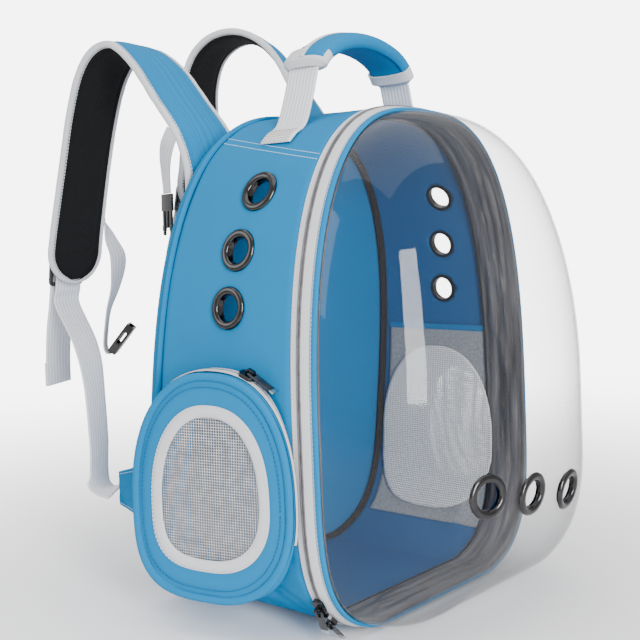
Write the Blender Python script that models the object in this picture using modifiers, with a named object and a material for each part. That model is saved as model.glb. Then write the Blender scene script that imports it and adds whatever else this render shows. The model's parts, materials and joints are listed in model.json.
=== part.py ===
# Pet carrier backpack with a clear bubble front.
# Metres, +Z up, front (bubble) towards -Y, straps towards +Y, origin at the middle of the flat base.

import bpy
import bmesh
import math
from mathutils import Matrix, Vector
from mathutils.bvhtree import BVHTree

# Body outline, seen from the front
BODY_WIDTH = 0.320
BODY_HEIGHT = 0.420
WIDEST_HEIGHT = 0.142
TOP_ROUNDNESS = 2.78
BOTTOM_ROUNDNESS = 3.6
BASE_FLATTENING = 0.0045
TOP_STEPS = 10
BOTTOM_STEPS = 9

# Depth of the body, front plane at the zip teeth, back plane at the piping
FRONT_DEPTH = 0.076
FRONT_LEAN = 0.010
BACK_DEPTH = 0.076
BACK_LEAN = 0.0345

# Cloth, foam and small clearances
GUSSET_THICKNESS = 0.003
GAP = 0.0004
PANEL_THICKNESS = 0.008
PANEL_CROWN = 0.004
PIPING_WIDTH = 0.0042
PIPING_OUT = 0.0025
PIPING_DEPTH = 0.0030
EDGE_LIFT_HEIGHT = 0.060

# Fold pressed into each lower side of the gusset, in front of the pocket
FOLD_DEPTH = 0.0035
FOLD_SHARE = 0.72
FOLD_HALF_SHARE = 0.10
FOLD_HEIGHT = 0.120

# Front zip and door strip, measured along the side wall and in from it
TAPE_THICKNESS = 0.0014
TAPE_SETBACK = 0.0004
TAPE_BODY_WIDTH = 0.0050
COIL_WIDTH = 0.0044
COIL_HEIGHT = 0.0024
COIL_PROUD = 0.0006
TAPE_DOOR_WIDTH = 0.0060
TAPE_DOOR_DROP = 0.0022
STRIP_WIDTH = 0.0055
STRIP_DROP = 0.0022
STRIP_THICKNESS = 0.0030

# Clear bubble
BUBBLE_THICKNESS = 0.0016
BUBBLE_DEPTH = 0.1107
BUBBLE_ROUNDNESS = 2.08
BUBBLE_CENTRE_HEIGHT = 0.155
BUBBLE_ROWS = 7

# Flaps and bindings inside the cabin
BAND_THICKNESS = 0.0012
BAND_BACK_REACH = 0.026
BAND_CLEARANCE = 0.0012
BINDING_REACH = 0.0095
BINDING_WIDTH = 0.0055

# Metal eyelets
EYELET_HOLE_RADIUS = 0.0108
EYELET_RADIUS = 0.0170
EYELET_BACK_RADIUS = 0.0135
EYELET_HEIGHT = 0.0022
EYELET_BARREL = 0.0010
EYELET_STEPS = 14
EYELET_SEAT = 0.0005
EYELET_BACK_SEAT = 0.0012
SIDE_EYELETS = (
    # name, share of the depth from the back, share of the height
    ("top", 0.582, 0.833),
    ("middle", 0.528, 0.724),
    ("low", 0.505, 0.617),
)
BUBBLE_EYELETS = (
    # name, share of half the width, share of the height
    ("left", -0.487, 0.285),
    ("centre", -0.184, 0.270),
    ("right", 0.201, 0.249),
)

# Side pockets: an egg shaped face that stands further out at its back edge
POCKET_CENTRE_Y = -0.0017
POCKET_WIDEST_HEIGHT = 0.108
POCKET_HALF_WIDTH = 0.0736
POCKET_RISE = 0.1027
POCKET_FALL = 0.0783
POCKET_FRONT_OUT = 0.006
POCKET_BACK_OUT = 0.0365
POCKET_STEPS = 24
POCKET_ROUNDNESS = (2.42, 2.15, 3.3, 2.25)
POCKET_CLOTH = 0.0018
POCKET_FLARE = 0.0070
FLARE_AT = 320.0
FLARE_FULL = 50.0
FLARE_END = 105.0
POCKET_BULGE = 0.0010
POCKET_SEAT = 0.0007
RIM_WIDTH = 0.0062
RIM_HEIGHT = 0.0036
WINDOW_SIDE_INSET = 0.0262
WINDOW_END_INSET = 0.0315
TRIM_WIDTH = 0.0078
TRIM_THICKNESS = 0.0012
MESH_THICKNESS = 0.0010
MESH_OVERLAP = 0.0040
POCKET_TAPE_FROM = -15.0
POCKET_TAPE_TO = 145.0
POCKET_TAPE_STEPS = 12
POCKET_TAPE_THICKNESS = 0.0012
POCKET_TAPE_SHARES = (0.08, 0.66)
POCKET_SLIDER_AT = 70.0
POCKET_SLIDER_DROP = 0.0008

# Openings in the side walls behind the pockets, and the nets that cover them inside
WALL_WINDOW_INSET = 0.0235
NET_THICKNESS = 0.0010
NET_TOP = 0.220
NET_CLEARANCE = 0.0017
NET_BOTTOM = 0.022
NET_MARGIN = 0.065

# Zip sliders and pulls
SLIDER_LENGTH = 0.0130
SLIDER_WIDTH = 0.0090
SLIDER_HEIGHT = 0.0031
SLIDER_SEAT = 0.0009
FRONT_SLIDER_EDGE = 3
BRIDGE_WIDTH = 0.0024
BRIDGE_INNER_LENGTH = 0.0054
BRIDGE_INNER_HEIGHT = 0.0036
BRIDGE_SHIFT = 0.0025
BRIDGE_WALL = 0.0012
FRONT_PULL_LENGTH = 0.0210
POCKET_PULL_LENGTH = 0.0260
PULL_WIDTH = 0.0072
PULL_THICKNESS = 0.0015
PULL_EYE_WIDTH = 0.0042
PULL_EYE_END = 0.0051
PULL_BAR = 0.0008
PULL_CORNER = 0.0012
UPPER_PULL_LIFT = 10.0
LOWER_PULL_LIFT = 0.0
POCKET_PULL_LIFT = -9.0

# Carrying handle
HANDLE_Y = -0.009
WEBBING_WIDTH = 0.032
WEBBING_THICKNESS = 0.0020
WEBBING_SEAT = 0.0016
HANDLE_FEET = (0.925, 0.943, 0.962)
HANDLE_HALF_SPAN = 0.072
HANDLE_RISE = 0.060
HANDLE_STEPS = 36
HANDLE_ARCH = (
    # share of the half span, share of the rise above the body
    (-1.000, 0.167),
    (-0.861, 0.617),
    (-0.556, 0.867),
    (-0.153, 0.983),
    (0.250, 0.967),
    (0.625, 0.833),
    (0.847, 0.583),
    (0.972, 0.167),
)
GRIP_HALF_WIDTH = 0.0215
GRIP_HALF_HEIGHT = 0.0072
GRIP_CORNER = 0.0050
GRIP_WALL = 0.0040
GRIP_FROM = 0.265
GRIP_TO = 0.735

# Shoulder straps: each table follows the middle line of the pad
STRAP_HALF_WIDTH = 0.0335
STRAP_THICKNESS = 0.0090
STRAP_EDGE = 0.0036
STRAP_EDGE_WIDTH = 0.0080
STRAP_STEPS = 17
STRAP_TIP_STEPS = 4
STRAP_BINDING_WIDTH = 0.0040
STRAP_BINDING_HEIGHT = 0.0056
STRAP_SPREAD = 0.085
STRAP_REACH = 0.200
LEFT_STRAP = (
    # share of the spread, of the reach, of the body's height, turn in degrees
    (-0.965, 0.000, 0.838, 0.0),
    (-0.976, 0.000, 0.895, 0.0),
    (-0.988, 0.046, 0.964, -4.0),
    (-1.000, 0.172, 1.038, -3.0),
    (-1.000, 0.322, 1.119, 0.0),
    (-1.000, 0.477, 1.167, 5.0),
    (-1.000, 0.617, 1.160, 6.0),
    (-1.000, 0.722, 1.114, 6.0),
    (-1.000, 0.802, 1.029, 6.0),
    (-1.000, 0.867, 0.926, 6.0),
    (-1.000, 0.927, 0.821, 4.0),
    (-1.000, 0.972, 0.733, 2.0),
    (-1.000, 0.997, 0.645, 0.0),
)
RIGHT_STRAP = (
    # share of the spread, of the reach, of the body's height, turn in degrees
    (0.965, 0.000, 0.838, 0.0),
    (0.965, 0.000, 0.895, 0.0),
    (0.941, 0.072, 1.010, 14.0),
    (0.941, 0.227, 1.129, 28.0),
    (0.941, 0.372, 1.205, 28.0),
    (0.941, 0.532, 1.243, 24.0),
    (0.941, 0.697, 1.245, 18.0),
    (0.941, 0.832, 1.210, 14.0),
    (0.941, 0.902, 1.143, 10.0),
    (0.941, 0.912, 1.060, 8.0),
    (0.941, 0.912, 0.964, 6.0),
    (0.941, 0.932, 0.893, 3.0),
    (0.941, 0.962, 0.819, 0.0),
)

# Strap adjusters, lower webbing and corner tabs
LOWER_WEB_WIDTH = 0.030
LOWER_WEB_THICKNESS = 0.0018
LOCK_WIDTH = 0.040
LOCK_HEIGHT = 0.030
LOCK_THICKNESS = 0.0036
LOCK_BAR = 0.0040
LOCK_SIDE = 0.0034
LOCK_OFFSET = 0.0135
LOCK_RISE = 0.012
LOOP_LENGTH = 0.014
LOOP_CLEARANCE = 0.0008
TAB_HEIGHT = 0.062
TAB_REACH = 0.052
TAB_TIP = 0.030
TAB_THICKNESS = 0.0028
TAB_CENTRE_HEIGHT = 0.093
TAB_INSET = 0.016
LOWER_WEB_ROUTE = (
    # share of the way across, back and up from the corner tab to the adjuster, turn in degrees
    (0.000, 0.000, 0.000, 62.0),
    (0.033, 0.126, -0.026, 34.0),
    (0.082, 0.225, -0.013, 20.0),
    (0.115, 0.253, 0.063, 20.0),
    (0.197, 0.288, 0.243, 20.0),
    (0.443, 0.449, 0.561, 18.0),
    (0.705, 0.660, 0.772, 10.0),
)
LOWER_WEB_STEPS = 20
TAIL_LENGTH = 0.110
WEB_TAIL = (
    # across, out and down from the adjuster, as shares of the tail's length
    (-0.03, 0.055, -0.20),
    (-0.06, 0.120, -0.45),
    (-0.10, 0.170, -0.75),
    (-0.13, 0.185, -1.00),
)

# Chest strap halves
CHEST_WIDTH = 0.018
CHEST_THICKNESS = 0.0016
CHEST_STEPS = 16
LEFT_CHEST_FROM_END = 0.066
LEFT_CHEST_DROP = 0.138
LEFT_CHEST_ROUTE = (
    # out from the pad as a share of the webbing's width, back and down as shares of the drop, turn
    (0.300, 0.060, 0.000, 60.0),
    (0.560, 0.024, -0.154, 10.0),
    (0.560, -0.049, -0.292, -10.0),
    (0.361, -0.040, -0.500, 20.0),
    (0.222, 0.030, -0.690, 38.0),
    (0.194, 0.070, -0.880, 40.0),
    (0.194, 0.076, -0.960, 40.0),
    (0.270, 0.066, -1.000, 40.0),
    (0.420, 0.044, -1.006, 40.0),
)
RIGHT_CHEST_FROM_END = 0.088
RIGHT_CHEST_DROP = 0.068
RIGHT_CHEST_ROUTE = (
    # out from the pad as a share of the webbing's width, back and down as shares of the drop, turn
    (0.222, 0.078, 0.000, 120.0),
    (0.560, 0.130, -0.200, 105.0),
    (0.560, 0.200, -0.420, 90.0),
    (0.450, 0.240, -0.650, 78.0),
    (0.360, 0.250, -0.900, 73.0),
    (0.350, 0.250, -1.000, 73.0),
)
LEFT_BUCKLE_LEAN = 142.0
RIGHT_BUCKLE_LEAN = 0.0
BUCKLE_WIDTH = 0.026
BUCKLE_LENGTH = 0.034
BUCKLE_THICKNESS = 0.0085
BUCKLE_WALL = 0.0018
BUCKLE_SOCKET = 0.027
PRONG_LENGTH = 0.026
PRONG_WIDTH = 0.0045
GUIDE_WIDTH = 0.0040
BUCKLE_BASE = 0.019
LEFT_BUCKLE_GAP = 0.0016
RIGHT_BUCKLE_GAP = 0.0004

MATERIALS = {
    # name: colour, roughness, metallic, opacity
    "blue_cloth": ((0.030, 0.330, 0.720), 0.80, 0.0, 1.0),
    "grey_tape": ((0.560, 0.570, 0.600), 0.75, 0.0, 1.0),
    "grey_webbing": ((0.680, 0.690, 0.730), 0.80, 0.0, 1.0),
    "black_cloth": ((0.012, 0.012, 0.014), 0.85, 0.0, 1.0),
    "band_film": ((0.110, 0.100, 0.105), 0.45, 0.0, 1.0),
    "clear_plastic": ((0.900, 0.920, 0.950), 0.05, 0.0, 0.25),
    "net": ((0.350, 0.420, 0.500), 0.70, 0.0, 1.0),
    "dark_metal": ((0.060, 0.055, 0.055), 0.25, 1.0, 1.0),
    "black_plastic": ((0.010, 0.010, 0.011), 0.35, 0.0, 1.0),
    "zip_coil": ((0.120, 0.110, 0.120), 0.50, 0.0, 1.0),
}


# Scene, collections and materials

def clear_scene():
    for item in list(bpy.data.objects):
        bpy.data.objects.remove(item, do_unlink=True)


def new_collection(name):
    coll = bpy.data.collections.new(name)
    bpy.context.scene.collection.children.link(coll)
    return coll


clear_scene()
PARTS = new_collection("pet_carrier_backpack")
CUTTERS = new_collection("cutters")


def finish_material(name):
    found = bpy.data.materials.get(name)
    if found:
        return found
    colour, roughness, metallic, opacity = MATERIALS[name]
    made = bpy.data.materials.new(name)
    made.use_nodes = True
    shader = made.node_tree.nodes["Principled BSDF"]
    shader.inputs["Base Color"].default_value = (*colour, 1.0)
    shader.inputs["Roughness"].default_value = roughness
    shader.inputs["Metallic"].default_value = metallic
    shader.inputs["Alpha"].default_value = opacity
    made.diffuse_color = (*colour, opacity)
    return made


def add_object(name, bm, material_name, smooth_angle=None):
    mesh = bpy.data.meshes.new(name)
    bm.to_mesh(mesh)
    bm.free()
    if smooth_angle:
        mesh.shade_smooth()
        mesh.set_sharp_from_angle(angle=math.radians(smooth_angle))
    mesh.materials.append(finish_material(material_name))
    made = bpy.data.objects.new(name, mesh)
    PARTS.objects.link(made)
    return made


def make_cutter(made):
    PARTS.objects.unlink(made)
    CUTTERS.objects.link(made)
    made.hide_render = True
    made.display_type = 'WIRE'
    return made


def add_boolean(target, tool, operation='DIFFERENCE'):
    modifier = target.modifiers.new(operation.lower() + "_" + tool.name, 'BOOLEAN')
    modifier.operation = operation
    modifier.solver = 'EXACT'
    modifier.object = tool


def add_solidify(made, thickness, offset):
    modifier = made.modifiers.new("thickness", 'SOLIDIFY')
    modifier.thickness = thickness
    modifier.offset = offset
    modifier.use_even_offset = True


# Lofts: quads between rows of points

def loft(rows, closed_rows=True, closed_loop=False, caps=False):
    bm = bmesh.new()
    grid = [[bm.verts.new(point) for point in row] for row in rows]
    count = len(rows[0])
    last_row = len(rows) if closed_loop else len(rows) - 1
    last_point = count if closed_rows else count - 1
    for i in range(last_row):
        low, high = grid[i], grid[(i + 1) % len(rows)]
        for j in range(last_point):
            k = (j + 1) % count
            bm.faces.new((low[j], low[k], high[k], high[j]))
    if caps:
        bm.faces.new(reversed(grid[0]))
        bm.faces.new(grid[-1])
    bmesh.ops.recalc_face_normals(bm, faces=bm.faces)
    return bm


def face_outward(bm, centre):
    # An open shell is turned so that its faces look away from the centre.
    lean = sum((face.calc_center_median() - centre).dot(face.normal) * face.calc_area() for face in bm.faces)
    if lean < 0:
        bmesh.ops.reverse_faces(bm, faces=bm.faces)


def smooth_route(points, steps):
    # Even samples of a Catmull-Rom curve through the points; a point may carry extra columns.
    values = [list(point) for point in points]
    first = [2 * a - b for a, b in zip(values[0], values[1])]
    last = [2 * a - b for a, b in zip(values[-1], values[-2])]
    padded = [first] + values + [last]
    dense = []
    fine = 24
    for i in range(1, len(padded) - 2):
        p0, p1, p2, p3 = padded[i - 1:i + 3]
        for k in range(fine):
            t = k / fine
            dense.append([0.5 * (2 * b + (c - a) * t + (2 * a - 5 * b + 4 * c - d) * t * t
                                 + (3 * b - a - 3 * c + d) * t ** 3)
                          for a, b, c, d in zip(p0, p1, p2, p3)])
    dense.append(values[-1])
    lengths = [0.0]
    for a, b in zip(dense, dense[1:]):
        lengths.append(lengths[-1] + (Vector(b[:3]) - Vector(a[:3])).length)
    samples = []
    k = 0
    for step in range(steps + 1):
        want = lengths[-1] * step / steps
        while k < len(lengths) - 2 and lengths[k + 1] < want:
            k += 1
        t = (want - lengths[k]) / max(lengths[k + 1] - lengths[k], 1e-9)
        samples.append([a + (b - a) * min(max(t, 0.0), 1.0) for a, b in zip(dense[k], dense[k + 1])])
    return samples, lengths[-1]


def ribbon_frames(samples):
    # For each sample: place, direction along, direction across and direction through.
    frames = []
    for i, sample in enumerate(samples):
        ahead = Vector(samples[min(i + 1, len(samples) - 1)][:3])
        behind = Vector(samples[max(i - 1, 0)][:3])
        along = (ahead - behind).normalized()
        turn = math.radians(sample[3])
        across = Vector((math.cos(turn), math.sin(turn), 0.0))
        across = (across - along * across.dot(along)).normalized()
        frames.append((Vector(sample[:3]), along, across, along.cross(across)))
    return frames


def ribbon(name, frames, width, thickness, material_name):
    rows = [[place - across * width / 2, place + across * width / 2] for place, _, across, _ in frames]
    made = add_object(name, loft(rows, closed_rows=False), material_name, 40)
    add_solidify(made, thickness, 0.0)
    return made


# Body outline and its two planes

def signed_power(value, power):
    return math.copysign(abs(value) ** power, value)


def body_outline():
    # Anticlockwise from the right side, seen from the front; the base is cut flat at z = 0.
    half = BODY_WIDTH / 2
    rise = BODY_HEIGHT - WIDEST_HEIGHT
    fall = WIDEST_HEIGHT + BASE_FLATTENING
    points = []
    quarters = (
        (TOP_STEPS, TOP_ROUNDNESS, rise),
        (TOP_STEPS, TOP_ROUNDNESS, rise),
        (BOTTOM_STEPS, BOTTOM_ROUNDNESS, fall),
        (BOTTOM_STEPS, BOTTOM_ROUNDNESS, fall),
    )
    for quadrant, (steps, power, reach) in enumerate(quarters):
        for k in range(steps):
            angle = math.radians(90 * (quadrant + k / steps))
            x = half * signed_power(math.cos(angle), 2 / power)
            z = WIDEST_HEIGHT + reach * signed_power(math.sin(angle), 2 / power)
            points.append(Vector((x, 0.0, max(z, 0.0))))
    return points


def outline_normals(points):
    # Outward, lengthened at each corner so that offset edges stay parallel.
    normals = []
    count = len(points)
    for i in range(count):
        edges = (points[i] - points[i - 1], points[(i + 1) % count] - points[i])
        sides = [Vector((edge.z, 0.0, -edge.x)).normalized() for edge in edges]
        middle = (sides[0] + sides[1]).normalized()
        normals.append(middle / middle.dot(sides[0]))
    return normals


OUTLINE = body_outline()
NORMALS = outline_normals(OUTLINE)


def front_y(z):
    return -FRONT_DEPTH - FRONT_LEAN * (0.5 - z / BODY_HEIGHT)


def back_y(z):
    return BACK_DEPTH + BACK_LEAN * (0.5 - z / BODY_HEIGHT)


def depth_y(share, z):
    return back_y(z) + (front_y(z) - back_y(z)) * share


def edge_lift(z):
    # 0 on the base, 1 from EDGE_LIFT_HEIGHT up: nothing stands below the base.
    t = min(max(z / EDGE_LIFT_HEIGHT, 0.0), 1.0)
    return t * t * (3 - 2 * t)


def ring_point(i, out, share, along):
    point, normal = OUTLINE[i], NORMALS[i]
    if out > 0:
        out = out * edge_lift(point.z)
    y = depth_y(share, point.z) + along
    return Vector((point.x + normal.x * out, y, point.z + normal.z * out))


def outline_ring(name, profile, material_name, smooth_angle=35):
    # A closed section, (out, share of the depth, extra along +Y), carried round the body outline.
    rows = [[ring_point(i, *entry) for entry in profile] for i in range(len(OUTLINE))]
    return add_object(name, loft(rows, closed_loop=True), material_name, smooth_angle)


# Side walls

GUSSET_FRONT = COIL_WIDTH / 2 + GAP + TAPE_BODY_WIDTH + GAP
GUSSET_BACK = PIPING_WIDTH / 2 + GAP
GUSSET_SHARES = (0.0, FOLD_SHARE - FOLD_HALF_SHARE, FOLD_SHARE, FOLD_SHARE + FOLD_HALF_SHARE, 1.0)


def fold_at(share, z):
    across = max(0.0, 1 - abs(share - FOLD_SHARE) / FOLD_HALF_SHARE)
    height = min(max(z / FOLD_HEIGHT, 0.0), 1.0)
    return FOLD_DEPTH * across * math.sin(math.pi * height) ** 2


def gusset_along(share):
    return GUSSET_FRONT * share - GUSSET_BACK * (1 - share)


def gusset_rows():
    rows = []
    for i, point in enumerate(OUTLINE):
        row = []
        for share in GUSSET_SHARES:
            row.append(ring_point(i, -fold_at(share, point.z), share, gusset_along(share)))
        rows.append(row)
    return rows


def make_gusset():
    bm = loft(gusset_rows(), closed_rows=False, closed_loop=True)
    face_outward(bm, Vector((0.0, 0.0, WIDEST_HEIGHT)))
    tree = BVHTree.FromBMesh(bm)
    made = add_object("gusset", bm, "blue_cloth", 40)
    add_solidify(made, GUSSET_THICKNESS, -1.0)
    return made, tree


# Back panel, piping, zip and bindings

def make_back_panel():
    start = PIPING_WIDTH / 2 + GAP
    half = PANEL_THICKNESS / 2
    stations = range(len(OUTLINE))
    middle = Vector((0.0, 0.0, WIDEST_HEIGHT + 0.02))

    def flat_row(scale, along, out):
        row = []
        for i in stations:
            point = ring_point(i, out, 0.0, 0.0)
            x = middle.x + (point.x - middle.x) * scale
            z = middle.z + (point.z - middle.z) * scale
            row.append(Vector((x, back_y(z) + along, z)))
        return row

    rows = [
        flat_row(0.45, start, -GAP),
        flat_row(1.0, start, -GAP),
        flat_row(1.0, start + half, -GAP),
        flat_row(1.0, start + PANEL_THICKNESS - 0.002, -0.003),
        flat_row(0.88, start + PANEL_THICKNESS + PANEL_CROWN * 0.6, 0.0),
        flat_row(0.55, start + PANEL_THICKNESS + PANEL_CROWN, 0.0),
    ]
    return add_object("back_panel", loft(rows, caps=True), "blue_cloth", 40)


def make_rings():
    half = PIPING_WIDTH / 2
    outline_ring("back_piping", [
        (-PIPING_DEPTH, 0.0, -half),
        (0.0, 0.0, -half),
        (PIPING_OUT, 0.0, -half * 0.5),
        (PIPING_OUT, 0.0, half * 0.5),
        (0.0, 0.0, half),
        (-PIPING_DEPTH, 0.0, half),
    ], "blue_cloth")
    low = -TAPE_SETBACK - TAPE_THICKNESS
    coil = COIL_WIDTH / 2
    tape_back = coil + GAP + TAPE_BODY_WIDTH
    outline_ring("tape_body", [
        (-TAPE_SETBACK, 1.0, coil + GAP),
        (-TAPE_SETBACK, 1.0, tape_back),
        (low, 1.0, tape_back),
        (low, 1.0, coil + GAP),
    ], "grey_tape")
    outline_ring("zip_coil", [
        (COIL_PROUD, 1.0, coil * 0.5),
        (COIL_PROUD - COIL_HEIGHT / 2, 1.0, coil),
        (COIL_PROUD - COIL_HEIGHT, 1.0, 0.0),
        (COIL_PROUD - COIL_HEIGHT / 2, 1.0, -coil),
        (COIL_PROUD, 1.0, -coil * 0.5),
    ], "zip_coil")
    door_near = -(coil + GAP)
    door_far = door_near - TAPE_DOOR_WIDTH
    outline_ring("tape_door", [
        (-TAPE_SETBACK, 1.0, door_near),
        (-TAPE_SETBACK - TAPE_DOOR_DROP, 1.0, door_far),
        (low - TAPE_DOOR_DROP, 1.0, door_far),
        (low, 1.0, door_near),
    ], "grey_tape")
    strip_near = door_far - GAP
    strip_far = strip_near - STRIP_WIDTH
    strip_out = -TAPE_SETBACK - TAPE_DOOR_DROP
    outline_ring("door_strip", [
        (strip_out - STRIP_THICKNESS, 1.0, strip_near),
        (strip_out, 1.0, strip_near),
        (strip_out - STRIP_DROP * 0.3, 1.0, strip_near - STRIP_WIDTH * 0.6),
        (strip_out - STRIP_DROP, 1.0, strip_far),
        (strip_out - STRIP_THICKNESS, 1.0, strip_far),
    ], "blue_cloth")
    band_out = strip_out - STRIP_THICKNESS - BAND_CLEARANCE
    band_in = band_out - BAND_THICKNESS
    outline_ring("front_band", [
        (band_out, 1.0, strip_far),
        (band_out, 1.0, BAND_BACK_REACH),
        (band_in, 1.0, BAND_BACK_REACH),
        (band_in, 1.0, strip_far),
    ], "band_film")
    binding_out = -GUSSET_THICKNESS - GAP
    outline_ring("back_binding", [
        (binding_out, 0.0, -BINDING_WIDTH),
        (binding_out, 0.0, -GAP),
        (-BINDING_REACH, 0.0, -GAP),
        (-BINDING_REACH, 0.0, -BINDING_WIDTH * 0.5),
    ], "black_cloth")
    return strip_far, strip_out


# Clear bubble

def make_bubble(strip_far, strip_out):
    # Its edge stands on the strip's front face; each row is the outline drawn in towards one height.
    edge = strip_far - GAP
    rows = []
    for k in range(BUBBLE_ROWS):
        angle = math.radians(90 * k / BUBBLE_ROWS)
        forward = BUBBLE_DEPTH * math.sin(angle) ** (2 / BUBBLE_ROUNDNESS)
        scale = math.cos(angle) ** (2 / BUBBLE_ROUNDNESS)
        row = []
        for i in range(len(OUTLINE)):
            point = ring_point(i, strip_out - STRIP_DROP, 1.0, 0.0)
            z = BUBBLE_CENTRE_HEIGHT + (point.z - BUBBLE_CENTRE_HEIGHT) * scale
            row.append(Vector((point.x * scale, front_y(z) + edge - forward, z)))
        rows.append(row)
    bm = loft(rows)
    bm.verts.ensure_lookup_table()
    last = bm.verts[-len(OUTLINE):]
    tip = bm.verts.new((0.0, front_y(BUBBLE_CENTRE_HEIGHT) + edge - BUBBLE_DEPTH, BUBBLE_CENTRE_HEIGHT))
    for i, vert in enumerate(last):
        bm.faces.new((vert, last[(i + 1) % len(last)], tip))
    bmesh.ops.recalc_face_normals(bm, faces=bm.faces)
    face_outward(bm, Vector((0.0, front_y(BUBBLE_CENTRE_HEIGHT), BUBBLE_CENTRE_HEIGHT)))
    tree = BVHTree.FromBMesh(bm)
    made = add_object("bubble", bm, "clear_plastic", 60)
    add_solidify(made, BUBBLE_THICKNESS, -1.0)
    return made, tree


# Eyelets

def frame_matrix(origin, along, through):
    # Local X along, local Z through (outward), local Y across.
    z_axis = through.normalized()
    x_axis = (along - z_axis * along.dot(z_axis)).normalized()
    y_axis = z_axis.cross(x_axis)
    matrix = Matrix((x_axis, y_axis, z_axis)).transposed().to_4x4()
    matrix.translation = origin
    return matrix


def screw_ring(name, profile, steps, material_name):
    # A closed profile of (radius, height) pairs that runs down its outer side, turned about Z.
    bm = bmesh.new()
    verts = [bm.verts.new((radius, 0.0, height)) for radius, height in profile]
    for i in range(len(verts)):
        bm.edges.new((verts[i], verts[(i + 1) % len(verts)]))
    made = add_object(name, bm, material_name)
    modifier = made.modifiers.new("turn", 'SCREW')
    modifier.steps = steps
    modifier.render_steps = steps
    modifier.use_merge_vertices = True
    modifier.merge_threshold = 0.00001
    modifier.use_smooth_shade = True
    return made


def add_eyelet(name, wall, tree, wall_thickness, origin, direction):
    place, normal, _, _ = tree.ray_cast(origin, direction)
    matrix = frame_matrix(place, Vector((0.0, 0.0, 1.0)), normal)
    barrel = EYELET_HOLE_RADIUS + EYELET_BARREL
    hole = barrel + GAP * 2
    bm = bmesh.new()
    bmesh.ops.create_cone(bm, cap_ends=True, segments=EYELET_STEPS, radius1=hole, radius2=hole,
                          depth=wall_thickness + EYELET_RADIUS)
    cutter = make_cutter(add_object(name + "_hole", bm, "dark_metal"))
    cutter.matrix_world = matrix
    add_boolean(wall, cutter)
    back = -wall_thickness - EYELET_BACK_SEAT
    made = screw_ring(name, (
        (EYELET_HOLE_RADIUS, EYELET_SEAT + EYELET_HEIGHT * 0.6),
        ((EYELET_RADIUS + barrel) / 2, EYELET_SEAT + EYELET_HEIGHT),
        (EYELET_RADIUS, EYELET_SEAT),
        (barrel, EYELET_SEAT),
        (barrel, back),
        (EYELET_BACK_RADIUS, back),
        (EYELET_HOLE_RADIUS, back - EYELET_BARREL),
    ), EYELET_STEPS, "dark_metal")
    made.matrix_world = matrix
    return made


# Pockets

class PocketPlane:
    # The leaning plane of one pocket face; side is -1 on the left and 1 on the right.
    def __init__(self, side):
        self.side = side
        half_y = POCKET_HALF_WIDTH
        slope = (POCKET_BACK_OUT - POCKET_FRONT_OUT) / (2 * half_y)
        self.lean = math.asin(slope)
        self.along = Vector((side * math.sin(self.lean), math.cos(self.lean), 0.0))
        self.outward = Vector((side * math.cos(self.lean), -math.sin(self.lean), 0.0))
        middle_out = BODY_WIDTH / 2 + (POCKET_BACK_OUT + POCKET_FRONT_OUT) / 2
        self.origin = Vector((side * middle_out, POCKET_CENTRE_Y, POCKET_WIDEST_HEIGHT))

    def place(self, a, z, height=0.0):
        return self.origin + self.along * a + Vector((0.0, 0.0, z)) + self.outward * height


def egg_point(degrees, side_inset, end_inset):
    # 0 is the front edge, 90 the top, 180 the back edge, 270 the bottom.
    angle = math.radians(degrees)
    power = POCKET_ROUNDNESS[int(degrees // 90) % 4]
    across = -(POCKET_HALF_WIDTH - side_inset) * signed_power(math.cos(angle), 2 / power)
    reach = POCKET_RISE if math.sin(angle) > 0 else POCKET_FALL
    up = (reach - end_inset) * signed_power(math.sin(angle), 2 / power)
    return across, up


def egg_angles():
    return [360.0 * (k + 0.5) / POCKET_STEPS for k in range(POCKET_STEPS)]


def egg_ring(plane, levels, angles, closed=True):
    # levels: (side inset, end inset, height over the face plane), one closed section per angle
    rows = []
    for degrees in angles:
        rows.append([plane.place(*egg_point(degrees, side, end), height) for side, end, height in levels])
    return loft(rows, closed_loop=closed, caps=not closed)


def flare_at(degrees):
    # How far the wall's foot is drawn in: fully along the lower front, not at all at the top and back.
    apart = abs((degrees - FLARE_AT + 180) % 360 - 180)
    t = min(max((FLARE_END - apart) / (FLARE_END - FLARE_FULL), 0.0), 1.0)
    return POCKET_FLARE * t * t * (3 - 2 * t)


def wall_row(plane, tree, degrees, inset):
    # Three places down the pocket wall at one angle: at the face, part way, and on the body.
    top = plane.place(*egg_point(degrees, inset, inset), -POCKET_CLOTH - GAP)
    foot_inset = flare_at(degrees) + inset
    start = plane.place(*egg_point(degrees, foot_inset, foot_inset))
    inward = Vector((-plane.side, 0.0, 0.0))
    hit, _, _, _ = tree.ray_cast(start + inward * -0.05, inward)
    foot = hit - inward * POCKET_SEAT
    bulge = inset - POCKET_BULGE
    line = plane.place(*egg_point(degrees, bulge, bulge))
    middle = Vector(((top.x + foot.x) / 2, line.y, line.z))
    return [top, middle, foot]


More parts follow.
